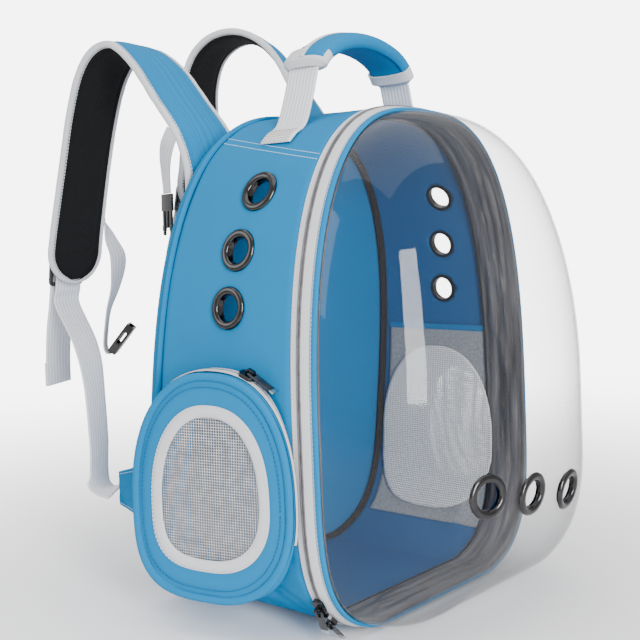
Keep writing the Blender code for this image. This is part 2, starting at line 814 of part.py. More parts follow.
def make_pocket(side, label, gusset, tree):
    plane = PocketPlane(side)
    angles = egg_angles()
    rows = []
    for degrees in angles:
        outer = wall_row(plane, tree, degrees, 0.0)
        inner = wall_row(plane, tree, degrees, POCKET_CLOTH)
        rows.append(outer + inner[::-1])
    add_object("pocket_wall_" + label, loft(rows, closed_loop=True), "blue_cloth", 50)

    rim_in = RIM_WIDTH
    add_object("pocket_rim_" + label, egg_ring(plane, (
        (0.0, 0.0, -POCKET_CLOTH),
        (-POCKET_BULGE, -POCKET_BULGE, -POCKET_CLOTH + RIM_HEIGHT * 0.45),
        (rim_in * 0.45, rim_in * 0.45, -POCKET_CLOTH + RIM_HEIGHT),
        (rim_in, rim_in, -POCKET_CLOTH + RIM_HEIGHT * 0.4),
        (rim_in, rim_in, -POCKET_CLOTH),
    ), angles), "blue_cloth", 60)

    face_in = rim_in + GAP
    add_object("pocket_face_" + label, egg_ring(plane, (
        (face_in, face_in, 0.0),
        (WINDOW_SIDE_INSET, WINDOW_END_INSET, 0.0),
        (WINDOW_SIDE_INSET, WINDOW_END_INSET, -POCKET_CLOTH),
        (face_in, face_in, -POCKET_CLOTH),
    ), angles), "blue_cloth", 40)
    outer_trim = TRIM_WIDTH * 0.75
    inner_trim = TRIM_WIDTH * 0.25
    add_object("pocket_trim_" + label, egg_ring(plane, (
        (WINDOW_SIDE_INSET - outer_trim, WINDOW_END_INSET - outer_trim, GAP),
        (WINDOW_SIDE_INSET - outer_trim, WINDOW_END_INSET - outer_trim, GAP + TRIM_THICKNESS),
        (WINDOW_SIDE_INSET + inner_trim, WINDOW_END_INSET + inner_trim, GAP + TRIM_THICKNESS),
        (WINDOW_SIDE_INSET + inner_trim, WINDOW_END_INSET + inner_trim, GAP),
    ), angles), "grey_tape", 40)
    mesh_side = WINDOW_SIDE_INSET - MESH_OVERLAP
    mesh_end = WINDOW_END_INSET - MESH_OVERLAP
    mesh_high = -POCKET_CLOTH - GAP
    edge_rows = [[plane.place(*egg_point(degrees, mesh_side, mesh_end), height) for degrees in angles]
                 for height in (mesh_high, mesh_high - MESH_THICKNESS)]
    add_object("pocket_mesh_" + label, loft(edge_rows, caps=True), "net", 40)

    tape_angles = [POCKET_TAPE_FROM + (POCKET_TAPE_TO - POCKET_TAPE_FROM) * k / POCKET_TAPE_STEPS
                   for k in range(POCKET_TAPE_STEPS + 1)]
    tape_rows = []
    for degrees in tape_angles:
        row = []
        for inset in (-GAP * 2, -GAP * 2 - POCKET_TAPE_THICKNESS):
            top, middle, foot = wall_row(plane, tree, degrees % 360, inset)
            line = [along_wall(top, middle, foot, share) for share in
                    (POCKET_TAPE_SHARES[0], 0.5, POCKET_TAPE_SHARES[1])]
            row = row + (line if inset == -GAP * 2 else line[::-1])
        tape_rows.append(row)
    add_object("pocket_tape_" + label, loft(tape_rows, caps=True), "grey_tape", 40)

    window = egg_prism(plane, WALL_WINDOW_INSET)
    cutter = make_cutter(add_object("wall_window_" + label, window, "net"))
    add_boolean(gusset, cutter)
    return plane


def along_wall(top, middle, foot, share):
    if share < 0.5:
        return top.lerp(middle, share * 2)
    return middle.lerp(foot, share * 2 - 1)


def egg_prism(plane, inset):
    rows = []
    reach = POCKET_BACK_OUT
    for x in (BODY_WIDTH / 2 - reach, BODY_WIDTH / 2 + reach):
        row = []
        for degrees in egg_angles():
            point = plane.place(*egg_point(degrees, inset, inset))
            row.append(Vector((plane.side * x, point.y, point.z)))
        rows.append(row)
    return loft(rows, caps=True)


def make_net(side, label):
    # A sheet inside the lower side wall, parallel to it, from the base corner up to NET_TOP.
    stations = [i for i, point in enumerate(OUTLINE)
                if point.x * side > 0 and NET_BOTTOM < point.z < NET_TOP]
    stations.sort(key=lambda i: OUTLINE[i].z)
    out = -GUSSET_THICKNESS - NET_CLEARANCE
    shares = (NET_MARGIN, *GUSSET_SHARES[1:-1], 1 - NET_MARGIN)
    rows = []
    for i in stations:
        z = OUTLINE[i].z
        rows.append([ring_point(i, out - fold_at(share, z), share, gusset_along(share)) for share in shares])
    made = add_object("side_net_" + label, loft(rows, closed_rows=False), "net", 40)
    add_solidify(made, NET_THICKNESS, 0.0)
    return made


# Zip sliders and pulls

def box_mesh(size, centre):
    bm = bmesh.new()
    bmesh.ops.create_cube(bm, size=1.0)
    bmesh.ops.scale(bm, vec=size, verts=bm.verts)
    bmesh.ops.translate(bm, vec=centre, verts=bm.verts)
    return bm


def bevel_uprights(bm, height, offset):
    # Cuts the corners of a box as seen from above.
    corners = []
    for edge in bm.edges:
        a, b = edge.verts
        if abs(a.co.z - b.co.z) > height / 2:
            corners.append(edge)
    bmesh.ops.bevel(bm, geom=corners, offset=offset, affect='EDGES', segments=1, profile=0.5)


def add_slider(name, matrix):
    # Local X runs along the zip, Z stands out of it.
    body = box_mesh((SLIDER_LENGTH, SLIDER_WIDTH, SLIDER_HEIGHT), (0, 0, SLIDER_SEAT + SLIDER_HEIGHT / 2))
    bevel_uprights(body, SLIDER_HEIGHT, SLIDER_WIDTH * 0.22)
    made = add_object(name, body, "dark_metal")
    made.matrix_world = matrix
    deck = SLIDER_SEAT + SLIDER_HEIGHT
    outer = BRIDGE_INNER_LENGTH / 2 + BRIDGE_WALL
    inner = BRIDGE_INNER_LENGTH / 2
    roof = deck + BRIDGE_INNER_HEIGHT
    sunk = deck - SLIDER_HEIGHT / 3
    arch = (
        (-outer, sunk),
        (-outer, roof),
        (-inner, roof + BRIDGE_WALL),
        (inner, roof + BRIDGE_WALL),
        (outer, roof),
        (outer, sunk),
        (inner, sunk),
        (inner, roof),
        (-inner, roof),
        (-inner, sunk),
    )
    bm = bmesh.new()
    verts = [bm.verts.new((BRIDGE_SHIFT + x, -BRIDGE_WIDTH / 2, z)) for x, z in arch]
    face = bm.faces.new(verts)
    grown = bmesh.ops.extrude_face_region(bm, geom=[face])
    moved = [item for item in grown["geom"] if isinstance(item, bmesh.types.BMVert)]
    bmesh.ops.translate(bm, vec=(0, BRIDGE_WIDTH, 0), verts=moved)
    bmesh.ops.recalc_face_normals(bm, faces=bm.faces)
    bridge = make_cutter(add_object(name + "_bridge", bm, "dark_metal"))
    bridge.matrix_world = matrix
    add_boolean(made, bridge, 'UNION')
    return made


def add_pull(name, matrix, lift, pull_length):
    # The pull turns about local Y through its bar; lift is its angle off the zip at rest.
    axis_height = SLIDER_SEAT + SLIDER_HEIGHT + BRIDGE_INNER_HEIGHT / 2
    raised = Matrix.Rotation(math.radians(-lift), 4, 'Y')
    hinge = matrix @ Matrix.Translation((BRIDGE_SHIFT, 0, axis_height)) @ raised
    length = pull_length + PULL_BAR
    plate = box_mesh((length, PULL_WIDTH, PULL_THICKNESS), (length / 2 - PULL_BAR, 0, 0))
    bevel_uprights(plate, PULL_THICKNESS, PULL_CORNER)
    made = add_object(name, plate, "black_plastic")
    made.matrix_world = hinge
    eye_length = PULL_EYE_END - PULL_BAR
    eye = box_mesh((eye_length, PULL_EYE_WIDTH, PULL_THICKNESS * 4), (PULL_BAR + eye_length / 2, 0, 0))
    cutter = make_cutter(add_object(name + "_eye", eye, "black_plastic"))
    cutter.matrix_world = hinge
    add_boolean(made, cutter)
    return made


def outline_seat(index):
    # The middle of the outline's edge from point index to the next, on the front zip.
    a, b = OUTLINE[index], OUTLINE[(index + 1) % len(OUTLINE)]
    middle = (a + b) / 2
    lift = COIL_PROUD * (edge_lift(a.z) + edge_lift(b.z)) / 2
    tangent = (b - a).normalized()
    outward = Vector((tangent.z, 0.0, -tangent.x))
    place = middle + outward * lift
    place.y = front_y(middle.z)
    return frame_matrix(place, tangent, outward)


def make_front_sliders():
    # Head to head at the lower left corner, on neighbouring edges of the outline.
    upper = outline_seat(2 * TOP_STEPS + FRONT_SLIDER_EDGE)
    lower = outline_seat(2 * TOP_STEPS + FRONT_SLIDER_EDGE + 1)
    add_slider("front_slider_upper", upper)
    add_pull("front_pull_upper", upper, UPPER_PULL_LIFT, FRONT_PULL_LENGTH)
    add_slider("front_slider_lower", lower)
    add_pull("front_pull_lower", lower, LOWER_PULL_LIFT, FRONT_PULL_LENGTH)


def make_pocket_slider(plane, label, tree):
    # Near the top of the pocket, with its pull lying forward on the tape.
    step = 3.0
    inset = -GAP * 2 - POCKET_TAPE_THICKNESS

    def spot(angle, share):
        return along_wall(*wall_row(plane, tree, angle, inset), share)

    middle_share = sum(POCKET_TAPE_SHARES) / 2
    place = spot(POCKET_SLIDER_AT, middle_share)
    ahead = spot(POCKET_SLIDER_AT - step, middle_share)
    behind = spot(POCKET_SLIDER_AT + step, middle_share)
    tangent = (ahead - behind).normalized()
    across = spot(POCKET_SLIDER_AT, POCKET_TAPE_SHARES[1]) - spot(POCKET_SLIDER_AT, POCKET_TAPE_SHARES[0])
    outward = tangent.cross(across)
    if outward.z < 0:
        outward = -outward
    seat = place - outward.normalized() * POCKET_SLIDER_DROP
    matrix = frame_matrix(seat, tangent, outward)
    add_slider("pocket_slider_" + label, matrix)
    add_pull("pocket_pull_" + label, matrix, POCKET_PULL_LIFT, POCKET_PULL_LENGTH)


# Handle

def make_handle(tree):
    feet = []
    for share in HANDLE_FEET:
        start = Vector((-BODY_WIDTH, HANDLE_Y, BODY_HEIGHT * share))
        hit, normal, _, _ = tree.ray_cast(start, Vector((1.0, 0.0, 0.0)))
        feet.append(hit + normal * (WEBBING_SEAT + WEBBING_THICKNESS / 2))
    route = [(foot.x, HANDLE_Y, foot.z, 90.0) for foot in feet]
    route += [(HANDLE_HALF_SPAN * across, HANDLE_Y, BODY_HEIGHT + HANDLE_RISE * up, 90.0)
              for across, up in HANDLE_ARCH]
    route += [(-foot.x, HANDLE_Y, foot.z, 90.0) for foot in reversed(feet)]
    samples, _ = smooth_route(route, HANDLE_STEPS)
    frames = ribbon_frames(samples)
    ribbon("handle_webbing", frames, WEBBING_WIDTH, WEBBING_THICKNESS, "grey_webbing")
    count = len(frames) - 1
    rows = []
    flat = GRIP_HALF_WIDTH - GRIP_CORNER
    low = GRIP_HALF_HEIGHT - GRIP_CORNER
    section = (
        (GRIP_HALF_WIDTH, low),
        (flat, GRIP_HALF_HEIGHT),
        (-flat, GRIP_HALF_HEIGHT),
        (-GRIP_HALF_WIDTH, low),
        (-GRIP_HALF_WIDTH, -low),
        (-flat, -GRIP_HALF_HEIGHT),
        (flat, -GRIP_HALF_HEIGHT),
        (GRIP_HALF_WIDTH, -low),
    )
    first = round(count * GRIP_FROM)
    last = round(count * GRIP_TO)
    for place, _, across, through in frames[first:last + 1:2]:
        rows.append([place + across * a + through * b for a, b in section])
    bm = loft(rows)
    face_outward(bm, sum((row[0] + row[4] for row in rows), Vector()) / (2 * len(rows)))
    made = add_object("handle_grip", bm, "blue_cloth", 60)
    add_solidify(made, GRIP_WALL, -1.0)


# Shoulder straps

def panel_y(z):
    # The outermost plane of the back panel at this height.
    return back_y(z) + PIPING_WIDTH / 2 + GAP + PANEL_THICKNESS + PANEL_CROWN


def strap_route(table):
    foot = panel_y(BODY_HEIGHT * table[0][2]) + STRAP_THICKNESS / 2 + GAP
    return [(STRAP_SPREAD * x, foot + STRAP_REACH * y, BODY_HEIGHT * z, turn) for x, y, z, turn in table]


def strap_widths(length, half):
    # (distance along, half width, angle round the tip) for each section of the pad
    straight = length - half
    sections = [(straight * k / STRAP_STEPS, half, 0.0) for k in range(STRAP_STEPS + 1)]
    for k in range(1, STRAP_TIP_STEPS + 1):
        angle = math.radians(78.0 * k / STRAP_TIP_STEPS)
        sections.append((straight + half * math.sin(angle), half * math.cos(angle), angle))
    return sections


def frame_at(frames, length, distance):
    position = min(max(distance / length, 0.0), 1.0) * (len(frames) - 1)
    k = min(int(position), len(frames) - 2)
    t = position - k
    return [a.lerp(b, t) for a, b in zip(frames[k], frames[k + 1])]


def make_strap(table, label):
    samples, length = smooth_route(strap_route(table), 120)
    frames = ribbon_frames(samples)
    half = STRAP_HALF_WIDTH - STRAP_BINDING_WIDTH - GAP
    sections = strap_widths(length - STRAP_BINDING_WIDTH - GAP, half)
    t = STRAP_THICKNESS / 2
    edge = STRAP_EDGE / 2
    rows = []
    for distance, width, _ in sections:
        place, _, across, through = frame_at(frames, length, distance)
        inner = max(width - STRAP_EDGE_WIDTH, width * 0.6)
        rows.append([place + across * a + through * b for a, b in
                     ((width, edge), (inner, t), (-inner, t), (-width, edge),
                      (-width, -edge), (-inner, -t), (inner, -t), (width, -edge))])
    add_object("strap_pad_" + label, loft(rows, caps=True), "blue_cloth", 50)

    high = STRAP_BINDING_HEIGHT / 2
    right = []
    left = []
    for distance, width, angle in sections:
        place, along, across, through = frame_at(frames, length, distance)
        for side, rows in ((1, right), (-1, left)):
            outward = across * (side * math.cos(angle)) + along * math.sin(angle)
            near = place + across * (side * width) + outward * GAP
            far = near + outward * STRAP_BINDING_WIDTH
            rows.append([near + through * high, far + through * high * 0.7,
                         far - through * high * 0.7, near - through * high])
    add_object("strap_binding_" + label, loft(right + left[::-1], caps=True), "grey_tape", 50)
    return frames, length


def make_lock(frames, length, label):
    # The adjuster lies off the pad's outer face at its lower end. Local X across, Y up, Z outward.
    place, along, across, through = frame_at(frames, length, length - LOCK_RISE)
    outward = through if through.y > 0 else -through
    matrix = frame_matrix(place + outward * LOCK_OFFSET, outward.cross(along), outward)
    made = add_object("adjuster_" + label, box_mesh((LOCK_WIDTH, LOCK_HEIGHT, LOCK_THICKNESS), (0, 0, 0)),
                      "black_plastic")
    made.matrix_world = matrix
    slot_height = (LOCK_HEIGHT - 3 * LOCK_BAR) / 2
    for k, side in enumerate((-1, 1)):
        slot = box_mesh((LOCK_WIDTH - 2 * LOCK_SIDE, slot_height, LOCK_THICKNESS * 3),
                        (0, side * (slot_height + LOCK_BAR) / 2, 0))
        cutter = make_cutter(add_object("adjuster_slot_" + label + str(k), slot, "black_plastic"))
        cutter.matrix_world = matrix
        add_boolean(made, cutter)
    return matrix, slot_height


def turn_points(matrix, centre, up, steps, extra=0):
    # Webbing folded round a bar, from its back to its front; up is 1 over the bar, -1 under it.
    radius = math.hypot(LOCK_BAR / 2, LOCK_THICKNESS / 2) + GAP + LOWER_WEB_THICKNESS / 2
    points = []
    for k in range(steps + 1 + extra):
        angle = math.pi * k / steps
        points.append((*(matrix @ Vector((0.0, centre + up * radius * math.sin(angle),
                                          -radius * math.cos(angle)))), 0.0))
    return points, radius


def make_lower_webbing(start, turn_sign, matrix, slot_height, label):
    # One length of webbing: corner tab, up behind the adjuster, over its middle bar and down outside it.
    turn, radius = turn_points(matrix, 0.0, 1, 8)
    low_bar = -(slot_height + LOCK_BAR)
    behind = matrix @ Vector((0.0, low_bar - LOCK_BAR, -radius))
    below = matrix @ Vector((0.0, 2 * (low_bar - LOCK_BAR), -radius))
    way = below - start
    route = [(start.x + way.x * x, start.y + way.y * y, start.z + way.z * z, turn_sign * angle)
             for x, y, z, angle in LOWER_WEB_ROUTE]
    up_route, _ = smooth_route(route + [(*below, 0.0), (*behind, 0.0), turn[0]], LOWER_WEB_STEPS)
    before = matrix @ Vector((0.0, low_bar - LOCK_BAR, radius * 1.2))
    tail = [(*(matrix @ Vector((TAIL_LENGTH * x, low_bar + TAIL_LENGTH * z, radius + TAIL_LENGTH * y))), 0.0)
            for x, y, z in WEB_TAIL]
    down_route, _ = smooth_route([turn[-1], (*before, 0.0)] + tail, LOWER_WEB_STEPS // 2)
    frames = ribbon_frames(up_route + turn[1:-1] + down_route)
    ribbon("lower_webbing_" + label, frames, LOWER_WEB_WIDTH, LOWER_WEB_THICKNESS, "grey_webbing")


def make_lock_loop(frames, length, matrix, slot_height, label):
    # A short folded piece of webbing round the adjuster's top bar, lying on the pad above it.
    top_bar = slot_height + LOCK_BAR
    turn, _ = turn_points(matrix, top_bar, -1, 8, 2)
    back = []
    front = []
    for rise in (LOOP_LENGTH * 1.6, LOOP_LENGTH):
        place, _, across, through = frame_at(frames, length, length - LOCK_RISE - top_bar - rise)
        outward = through if through.y > 0 else -through
        on_pad = STRAP_THICKNESS / 2 + LOOP_CLEARANCE + LOWER_WEB_THICKNESS / 2
        turn_here = math.degrees(math.atan2(across.y, across.x))
        back.append((*(place + outward * on_pad), turn_here))
        front.append((*(place + outward * (on_pad + LOWER_WEB_THICKNESS + GAP)), turn_here))
    down, _ = smooth_route(back + [turn[0]], 5)
    up, _ = smooth_route([turn[-1]] + front[::-1], 5)
    loop_frames = ribbon_frames(down + turn[1:-1] + up)
    ribbon("adjuster_loop_" + label, loop_frames, LOWER_WEB_WIDTH, LOWER_WEB_THICKNESS, "grey_webbing")


def make_tab(side, label):
    # A cloth wedge from the lower back corner, out to the end of the lower webbing.
    z = TAB_CENTRE_HEIGHT
    root = panel_y(z - TAB_HEIGHT / 2) - PANEL_CROWN + GAP
    x = side * (BODY_WIDTH / 2 - TAB_INSET)
    t = TAB_THICKNESS / 2
    rows = []
    for share in (0.0, 1.0):
        y = root + TAB_REACH * share
        half = TAB_HEIGHT / 2 + (TAB_TIP / 2 - TAB_HEIGHT / 2) * share
        rows.append([Vector((x + t, y, z - half)), Vector((x + t, y, z + half)),
                     Vector((x - t, y, z + half)), Vector((x - t, y, z - half))])
    add_object("corner_tab_" + label, loft(rows, caps=True), "blue_cloth")
    return Vector((x, root + TAB_REACH + GAP * 3, z))


# Chest strap halves

def make_chest_webbing(side, frames, length, from_end, drop, table, label):
    # From the inner edge of the shoulder pad, twisting as it hangs down to its half of the buckle.
    place, _, across, _ = frame_at(frames, length, length - from_end)
    edge = place - across * (side * STRAP_HALF_WIDTH)
    route = [(edge.x - side * (CHEST_WIDTH * out + GAP), edge.y + drop * back, edge.z + drop * down, turn)
             for out, back, down, turn in table]
    samples, _ = smooth_route(route, CHEST_STEPS)
    ribbon_path = ribbon_frames(samples)
    ribbon("chest_webbing_" + label, ribbon_path, CHEST_WIDTH, CHEST_THICKNESS, "grey_webbing")
    return ribbon_path[-1][0], ribbon_path[-1][2]


def buckle_matrix(place, across, lean, gap):
    # Local X across the webbing, local Y away from it, local Z through it; lean turns it up from hanging.
    across = Vector((across.x, across.y, 0.0)).normalized()
    sideways = Vector((0.0, 0.0, 1.0)).cross(across)
    if sideways.y > 0:
        sideways = -sideways
    angle = math.radians(lean)
    away = sideways * math.sin(angle) - Vector((0.0, 0.0, 1.0)) * math.cos(angle)
    return frame_matrix(place + away * gap, across, across.cross(away))


def make_socket_buckle(place, across):
    matrix = buckle_matrix(place, across, LEFT_BUCKLE_LEAN, LEFT_BUCKLE_GAP)
    bm = box_mesh((BUCKLE_WIDTH, BUCKLE_LENGTH, BUCKLE_THICKNESS), (0, BUCKLE_LENGTH / 2, 0))
    bmesh.ops.bevel(bm, geom=bm.edges[:], offset=BUCKLE_WALL * 0.5, affect='EDGES', segments=1, profile=0.5)
    made = add_object("buckle_socket", bm, "black_plastic")
    made.matrix_world = matrix
    inner_width = BUCKLE_WIDTH - 2 * BUCKLE_WALL
    inner_height = BUCKLE_THICKNESS - 2 * BUCKLE_WALL
    hollow = box_mesh((inner_width, BUCKLE_SOCKET * 2, inner_height), (0, BUCKLE_LENGTH, 0))
    cutter = make_cutter(add_object("buckle_hollow", hollow, "black_plastic"))
    cutter.matrix_world = matrix
    add_boolean(made, cutter)


def make_prong_buckle(place, across):
    matrix = buckle_matrix(place, across, RIGHT_BUCKLE_LEAN, RIGHT_BUCKLE_GAP)
    thick = BUCKLE_THICKNESS - 2 * BUCKLE_WALL - 4 * GAP
    side = BUCKLE_WIDTH / 2 - BUCKLE_WALL - GAP - PRONG_WIDTH / 2
    end = BUCKLE_BASE + PRONG_LENGTH
    outline = [(-BUCKLE_WIDTH / 2, 0), (BUCKLE_WIDTH / 2, 0), (BUCKLE_WIDTH / 2, BUCKLE_BASE)]
    for centre, width, reach in ((side, PRONG_WIDTH, end), (0.0, GUIDE_WIDTH, end - PRONG_LENGTH * 0.3),
                                 (-side, PRONG_WIDTH, end)):
        outline += [
            (centre + width / 2, BUCKLE_BASE),
            (centre + width / 2, reach - width / 2),
            (centre, reach),
            (centre - width / 2, reach - width / 2),
            (centre - width / 2, BUCKLE_BASE),
        ]
    outline += [(-BUCKLE_WIDTH / 2, BUCKLE_BASE)]
    bm = bmesh.new()
    face = bm.faces.new([bm.verts.new((x, y, -thick / 2)) for x, y in outline])
    grown = bmesh.ops.extrude_face_region(bm, geom=[face])
    moved = [item for item in grown["geom"] if isinstance(item, bmesh.types.BMVert)]
    bmesh.ops.translate(bm, vec=(0, 0, thick), verts=moved)
    bmesh.ops.recalc_face_normals(bm, faces=bm.faces)
    made = add_object("buckle_prongs", bm, "black_plastic")
    made.matrix_world = matrix


def build():
    gusset, gusset_tree = make_gusset()
    make_back_panel()
    strip_far, strip_out = make_rings()
    bubble, bubble_tree = make_bubble(strip_far, strip_out)
    for name, share, height in SIDE_EYELETS:
        z = BODY_HEIGHT * height
        for side, label in ((-1, "left"), (1, "right")):
            add_eyelet("eyelet_" + name + "_" + label, gusset, gusset_tree, GUSSET_THICKNESS,
                       Vector((side * BODY_WIDTH, depth_y(share, z), z)), Vector((-side, 0.0, 0.0)))
    for name, across, height in BUBBLE_EYELETS:
        add_eyelet("bubble_eyelet_" + name, bubble, bubble_tree, BUBBLE_THICKNESS,
                   Vector((BODY_WIDTH / 2 * across, -FRONT_DEPTH - 2 * BUBBLE_DEPTH, BODY_HEIGHT * height)),
                   Vector((0.0, 1.0, 0.0)))
    for side, label in ((-1, "left"), (1, "right")):
        plane = make_pocket(side, label, gusset, gusset_tree)
        make_pocket_slider(plane, label, gusset_tree)
        make_net(side, label)
    make_front_sliders()
    make_handle(gusset_tree)
    for side, table, chest, label in (
            (-1, LEFT_STRAP, (LEFT_CHEST_FROM_END, LEFT_CHEST_DROP, LEFT_CHEST_ROUTE), "left"),
            (1, RIGHT_STRAP, (RIGHT_CHEST_FROM_END, RIGHT_CHEST_DROP, RIGHT_CHEST_ROUTE), "right")):
        frames, length = make_strap(table, label)
        matrix, slot_height = make_lock(frames, length, label)
        make_lower_webbing(make_tab(side, label), -side, matrix, slot_height, label)
        make_lock_loop(frames, length, matrix, slot_height, label)
        place, across = make_chest_webbing(side, frames, length, *chest, label)
        if label == "left":
            make_socket_buckle(place, across)
        else:
            make_prong_buckle(place, across)


build()
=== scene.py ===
import bpy
import bmesh
import json
import math
from mathutils import Matrix, Vector, noise
from mathutils.bvhtree import BVHTree


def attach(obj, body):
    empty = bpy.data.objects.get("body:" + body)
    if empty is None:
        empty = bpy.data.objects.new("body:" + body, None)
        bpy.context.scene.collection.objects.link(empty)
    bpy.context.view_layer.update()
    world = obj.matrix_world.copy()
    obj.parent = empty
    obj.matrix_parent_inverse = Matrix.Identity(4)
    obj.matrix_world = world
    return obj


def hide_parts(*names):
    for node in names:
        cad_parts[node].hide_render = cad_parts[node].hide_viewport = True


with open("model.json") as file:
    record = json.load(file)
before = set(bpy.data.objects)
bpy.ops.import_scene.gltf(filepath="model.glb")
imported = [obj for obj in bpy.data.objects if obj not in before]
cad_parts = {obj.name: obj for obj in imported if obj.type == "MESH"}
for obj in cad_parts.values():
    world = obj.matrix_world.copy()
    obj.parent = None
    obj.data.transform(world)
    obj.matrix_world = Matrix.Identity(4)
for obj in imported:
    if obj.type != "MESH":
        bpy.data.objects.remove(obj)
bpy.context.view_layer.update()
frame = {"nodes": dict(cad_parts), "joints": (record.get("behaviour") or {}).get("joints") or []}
sides = ((-1, "left"), (1, "right"))
mainBody = "backpack"
upright = Vector((0, 0, 1))

cameraValues = {"place": (-0.7445, -0.58538, 0.31525), "yaw": 50.26, "pitch": -4.63, "roll": -1.27, "lens": 59.47}


def addCamera(values):
    yaw, pitch, roll = (math.radians(values[key]) for key in ("yaw", "pitch", "roll"))
    forward = Vector((math.sin(yaw) * math.cos(pitch), math.cos(yaw) * math.cos(pitch), math.sin(pitch)))
    right = Vector((math.cos(yaw), -math.sin(yaw), 0))
    up = right.cross(forward)
    turnedRight = right * math.cos(roll) + up * math.sin(roll)
    turnedUp = up * math.cos(roll) - right * math.sin(roll)
    data = bpy.data.cameras.new("photoCamera")
    data.lens = values["lens"]
    data.sensor_width = 36
    data.clip_start = 0.01
    camera = bpy.data.objects.new("photoCamera", data)
    bpy.context.scene.collection.objects.link(camera)
    camera.matrix_world = Matrix((turnedRight, turnedUp, -forward)).transposed().to_4x4()
    camera.matrix_world.translation = values["place"]
    bpy.context.scene.camera = camera


addCamera(cameraValues)
print("camera set")


def setInputs(tree, made, inputs):
    # A socket is linked; a constant is set on the node's own socket.
    for key, value in inputs.items():
        if isinstance(value, bpy.types.NodeSocket):
            tree.links.new(value, made.inputs[key])
        else:
            made.inputs[key].default_value = value


def addNode(tree, kind, inputs=None, **settings):
    made = tree.nodes.new(kind)
    for key, value in settings.items():
        setattr(made, key, value)
    setInputs(tree, made, inputs or {})
    return made


def maths(tree, operation, a, b=0.0):
    return addNode(tree, "ShaderNodeMath", {0: a, 1: b}, operation=operation).outputs[0]


def startMaterial(name, roughness, metallic=0.0):
    made = bpy.data.materials.new(name)
    made.use_nodes = True
    shader = made.node_tree.nodes["Principled BSDF"]
    setInputs(made.node_tree, shader, {"Roughness": roughness, "Metallic": metallic})
    return made, made.node_tree, shader


def grain(tree, scale, detail=3.0):
    place = addNode(tree, "ShaderNodeTexCoord").outputs["Object"]
    return addNode(tree, "ShaderNodeTexNoise", {"Vector": place, "Scale": scale, "Detail": detail}).outputs["Fac"]


def mixColour(tree, factor, first, second):
    ends = [end if isinstance(end, bpy.types.NodeSocket) else (*end, 1) for end in (first, second)]
    return addNode(tree, "ShaderNodeMix", {0: factor, 6: ends[0], 7: ends[1]}, data_type='RGBA').outputs[2]


def spread(tree, value, low, high, toLow=0.0, toHigh=1.0):
    return addNode(tree, "ShaderNodeMapRange", {0: value, 1: low, 2: high, 3: toLow, 4: toHigh}).outputs[0]


def addBump(tree, shader, height, strength, distance):
    bumped = addNode(tree, "ShaderNodeBump", {"Height": height, "Strength": strength, "Distance": distance})
    setInputs(tree, shader, {"Normal": bumped.outputs[0]})


def uvWaves(tree, pitches):
    # Sine waves along U and V; the UV map is in metres.
    uv = addNode(tree, "ShaderNodeUVMap", uv_map="UVMap").outputs[0]
    axes = addNode(tree, "ShaderNodeSeparateXYZ", {0: uv}).outputs
    return [maths(tree, 'SINE', maths(tree, 'MULTIPLY', axis, 2 * math.pi / pitch))
            for axis, pitch in zip(axes, pitches)]


clothValues = {"roughness": 0.85, "sheen": 0.04, "sheenRoughness": 0.45, "specular": 0.2, "slowScale": 14.0,
               "fineScale": 900.0, "slowDark": 0.93, "fineDark": 0.72, "fibre": 0.14, "between": 0.55,
               "depth": 0.0004}


def clothMaterial(name, colour, shade, weave, bump, ribbed=False, fuzz=0.0, values=clothValues):
    # Woven cloth: threads from UV waves, a slow change of shade, and a fine grain of loose fibres.
    made, tree, shader = startMaterial(name, values["roughness"])
    along, across = uvWaves(tree, weave)
    if ribbed:
        threads = maths(tree, 'ADD', across, maths(tree, 'MULTIPLY', along, 0.25))
    else:
        threads = maths(tree, 'MULTIPLY', along, across)
    raised = spread(tree, threads, -1.0, 1.0)
    slow = spread(tree, grain(tree, values["slowScale"], 2.0), 0.3, 0.7)
    fine = spread(tree, grain(tree, values["fineScale"], 2.0), 0.25, 0.75)
    mixed = mixColour(tree, slow, [c * values["slowDark"] for c in colour], colour)
    between = maths(tree, 'MULTIPLY', maths(tree, 'SUBTRACT', 1.0, raised), values["between"])
    mixed = mixColour(tree, between, mixed, shade)
    loose = maths(tree, 'MULTIPLY', fine, values["fibre"] + fuzz)
    mixed = mixColour(tree, loose, mixed, [c * values["fineDark"] for c in colour])
    height = maths(tree, 'ADD', raised, maths(tree, 'MULTIPLY', fine, 0.5 + 2.0 * fuzz))
    addBump(tree, shader, height, bump, values["depth"])
    setInputs(tree, shader, {"Base Color": mixed, "Sheen Weight": values["sheen"], "Sheen Tint": (*colour, 1),
                             "Sheen Roughness": values["sheenRoughness"], "Specular IOR Level": values["specular"]})
    return made


def netMaterial(name, colour, pitch, thread):
    # Open net: round holes cut by alpha, threads left between them.
    made, tree, shader = startMaterial(name, 0.6)
    hole = maths(tree, 'MULTIPLY', *uvWaves(tree, (pitch, pitch)))
    shown = spread(tree, maths(tree, 'ABSOLUTE', hole), thread, thread + 0.12, 1.0, 0.0)
    mixed = mixColour(tree, spread(tree, grain(tree, 500.0), 0.35, 0.65), [c * 0.7 for c in colour], colour)
    setInputs(tree, shader, {"Base Color": mixed, "Alpha": shown})
    return made


def plasticMaterial(name, colour, roughness, coat=0.0):
    made, tree, shader = startMaterial(name, roughness)
    worn = spread(tree, grain(tree, 160.0, 4.0), 0.35, 0.75)
    mixed = mixColour(tree, worn, colour, [min(1.0, c * 1.8 + 0.006) for c in colour])
    rough = spread(tree, worn, 0.0, 1.0, roughness * 0.85, min(1.0, roughness * 1.3))
    setInputs(tree, shader, {"Base Color": mixed, "Roughness": rough, "Coat Weight": coat})
    addBump(tree, shader, grain(tree, 1400.0), 0.06, 0.0002)
    return made


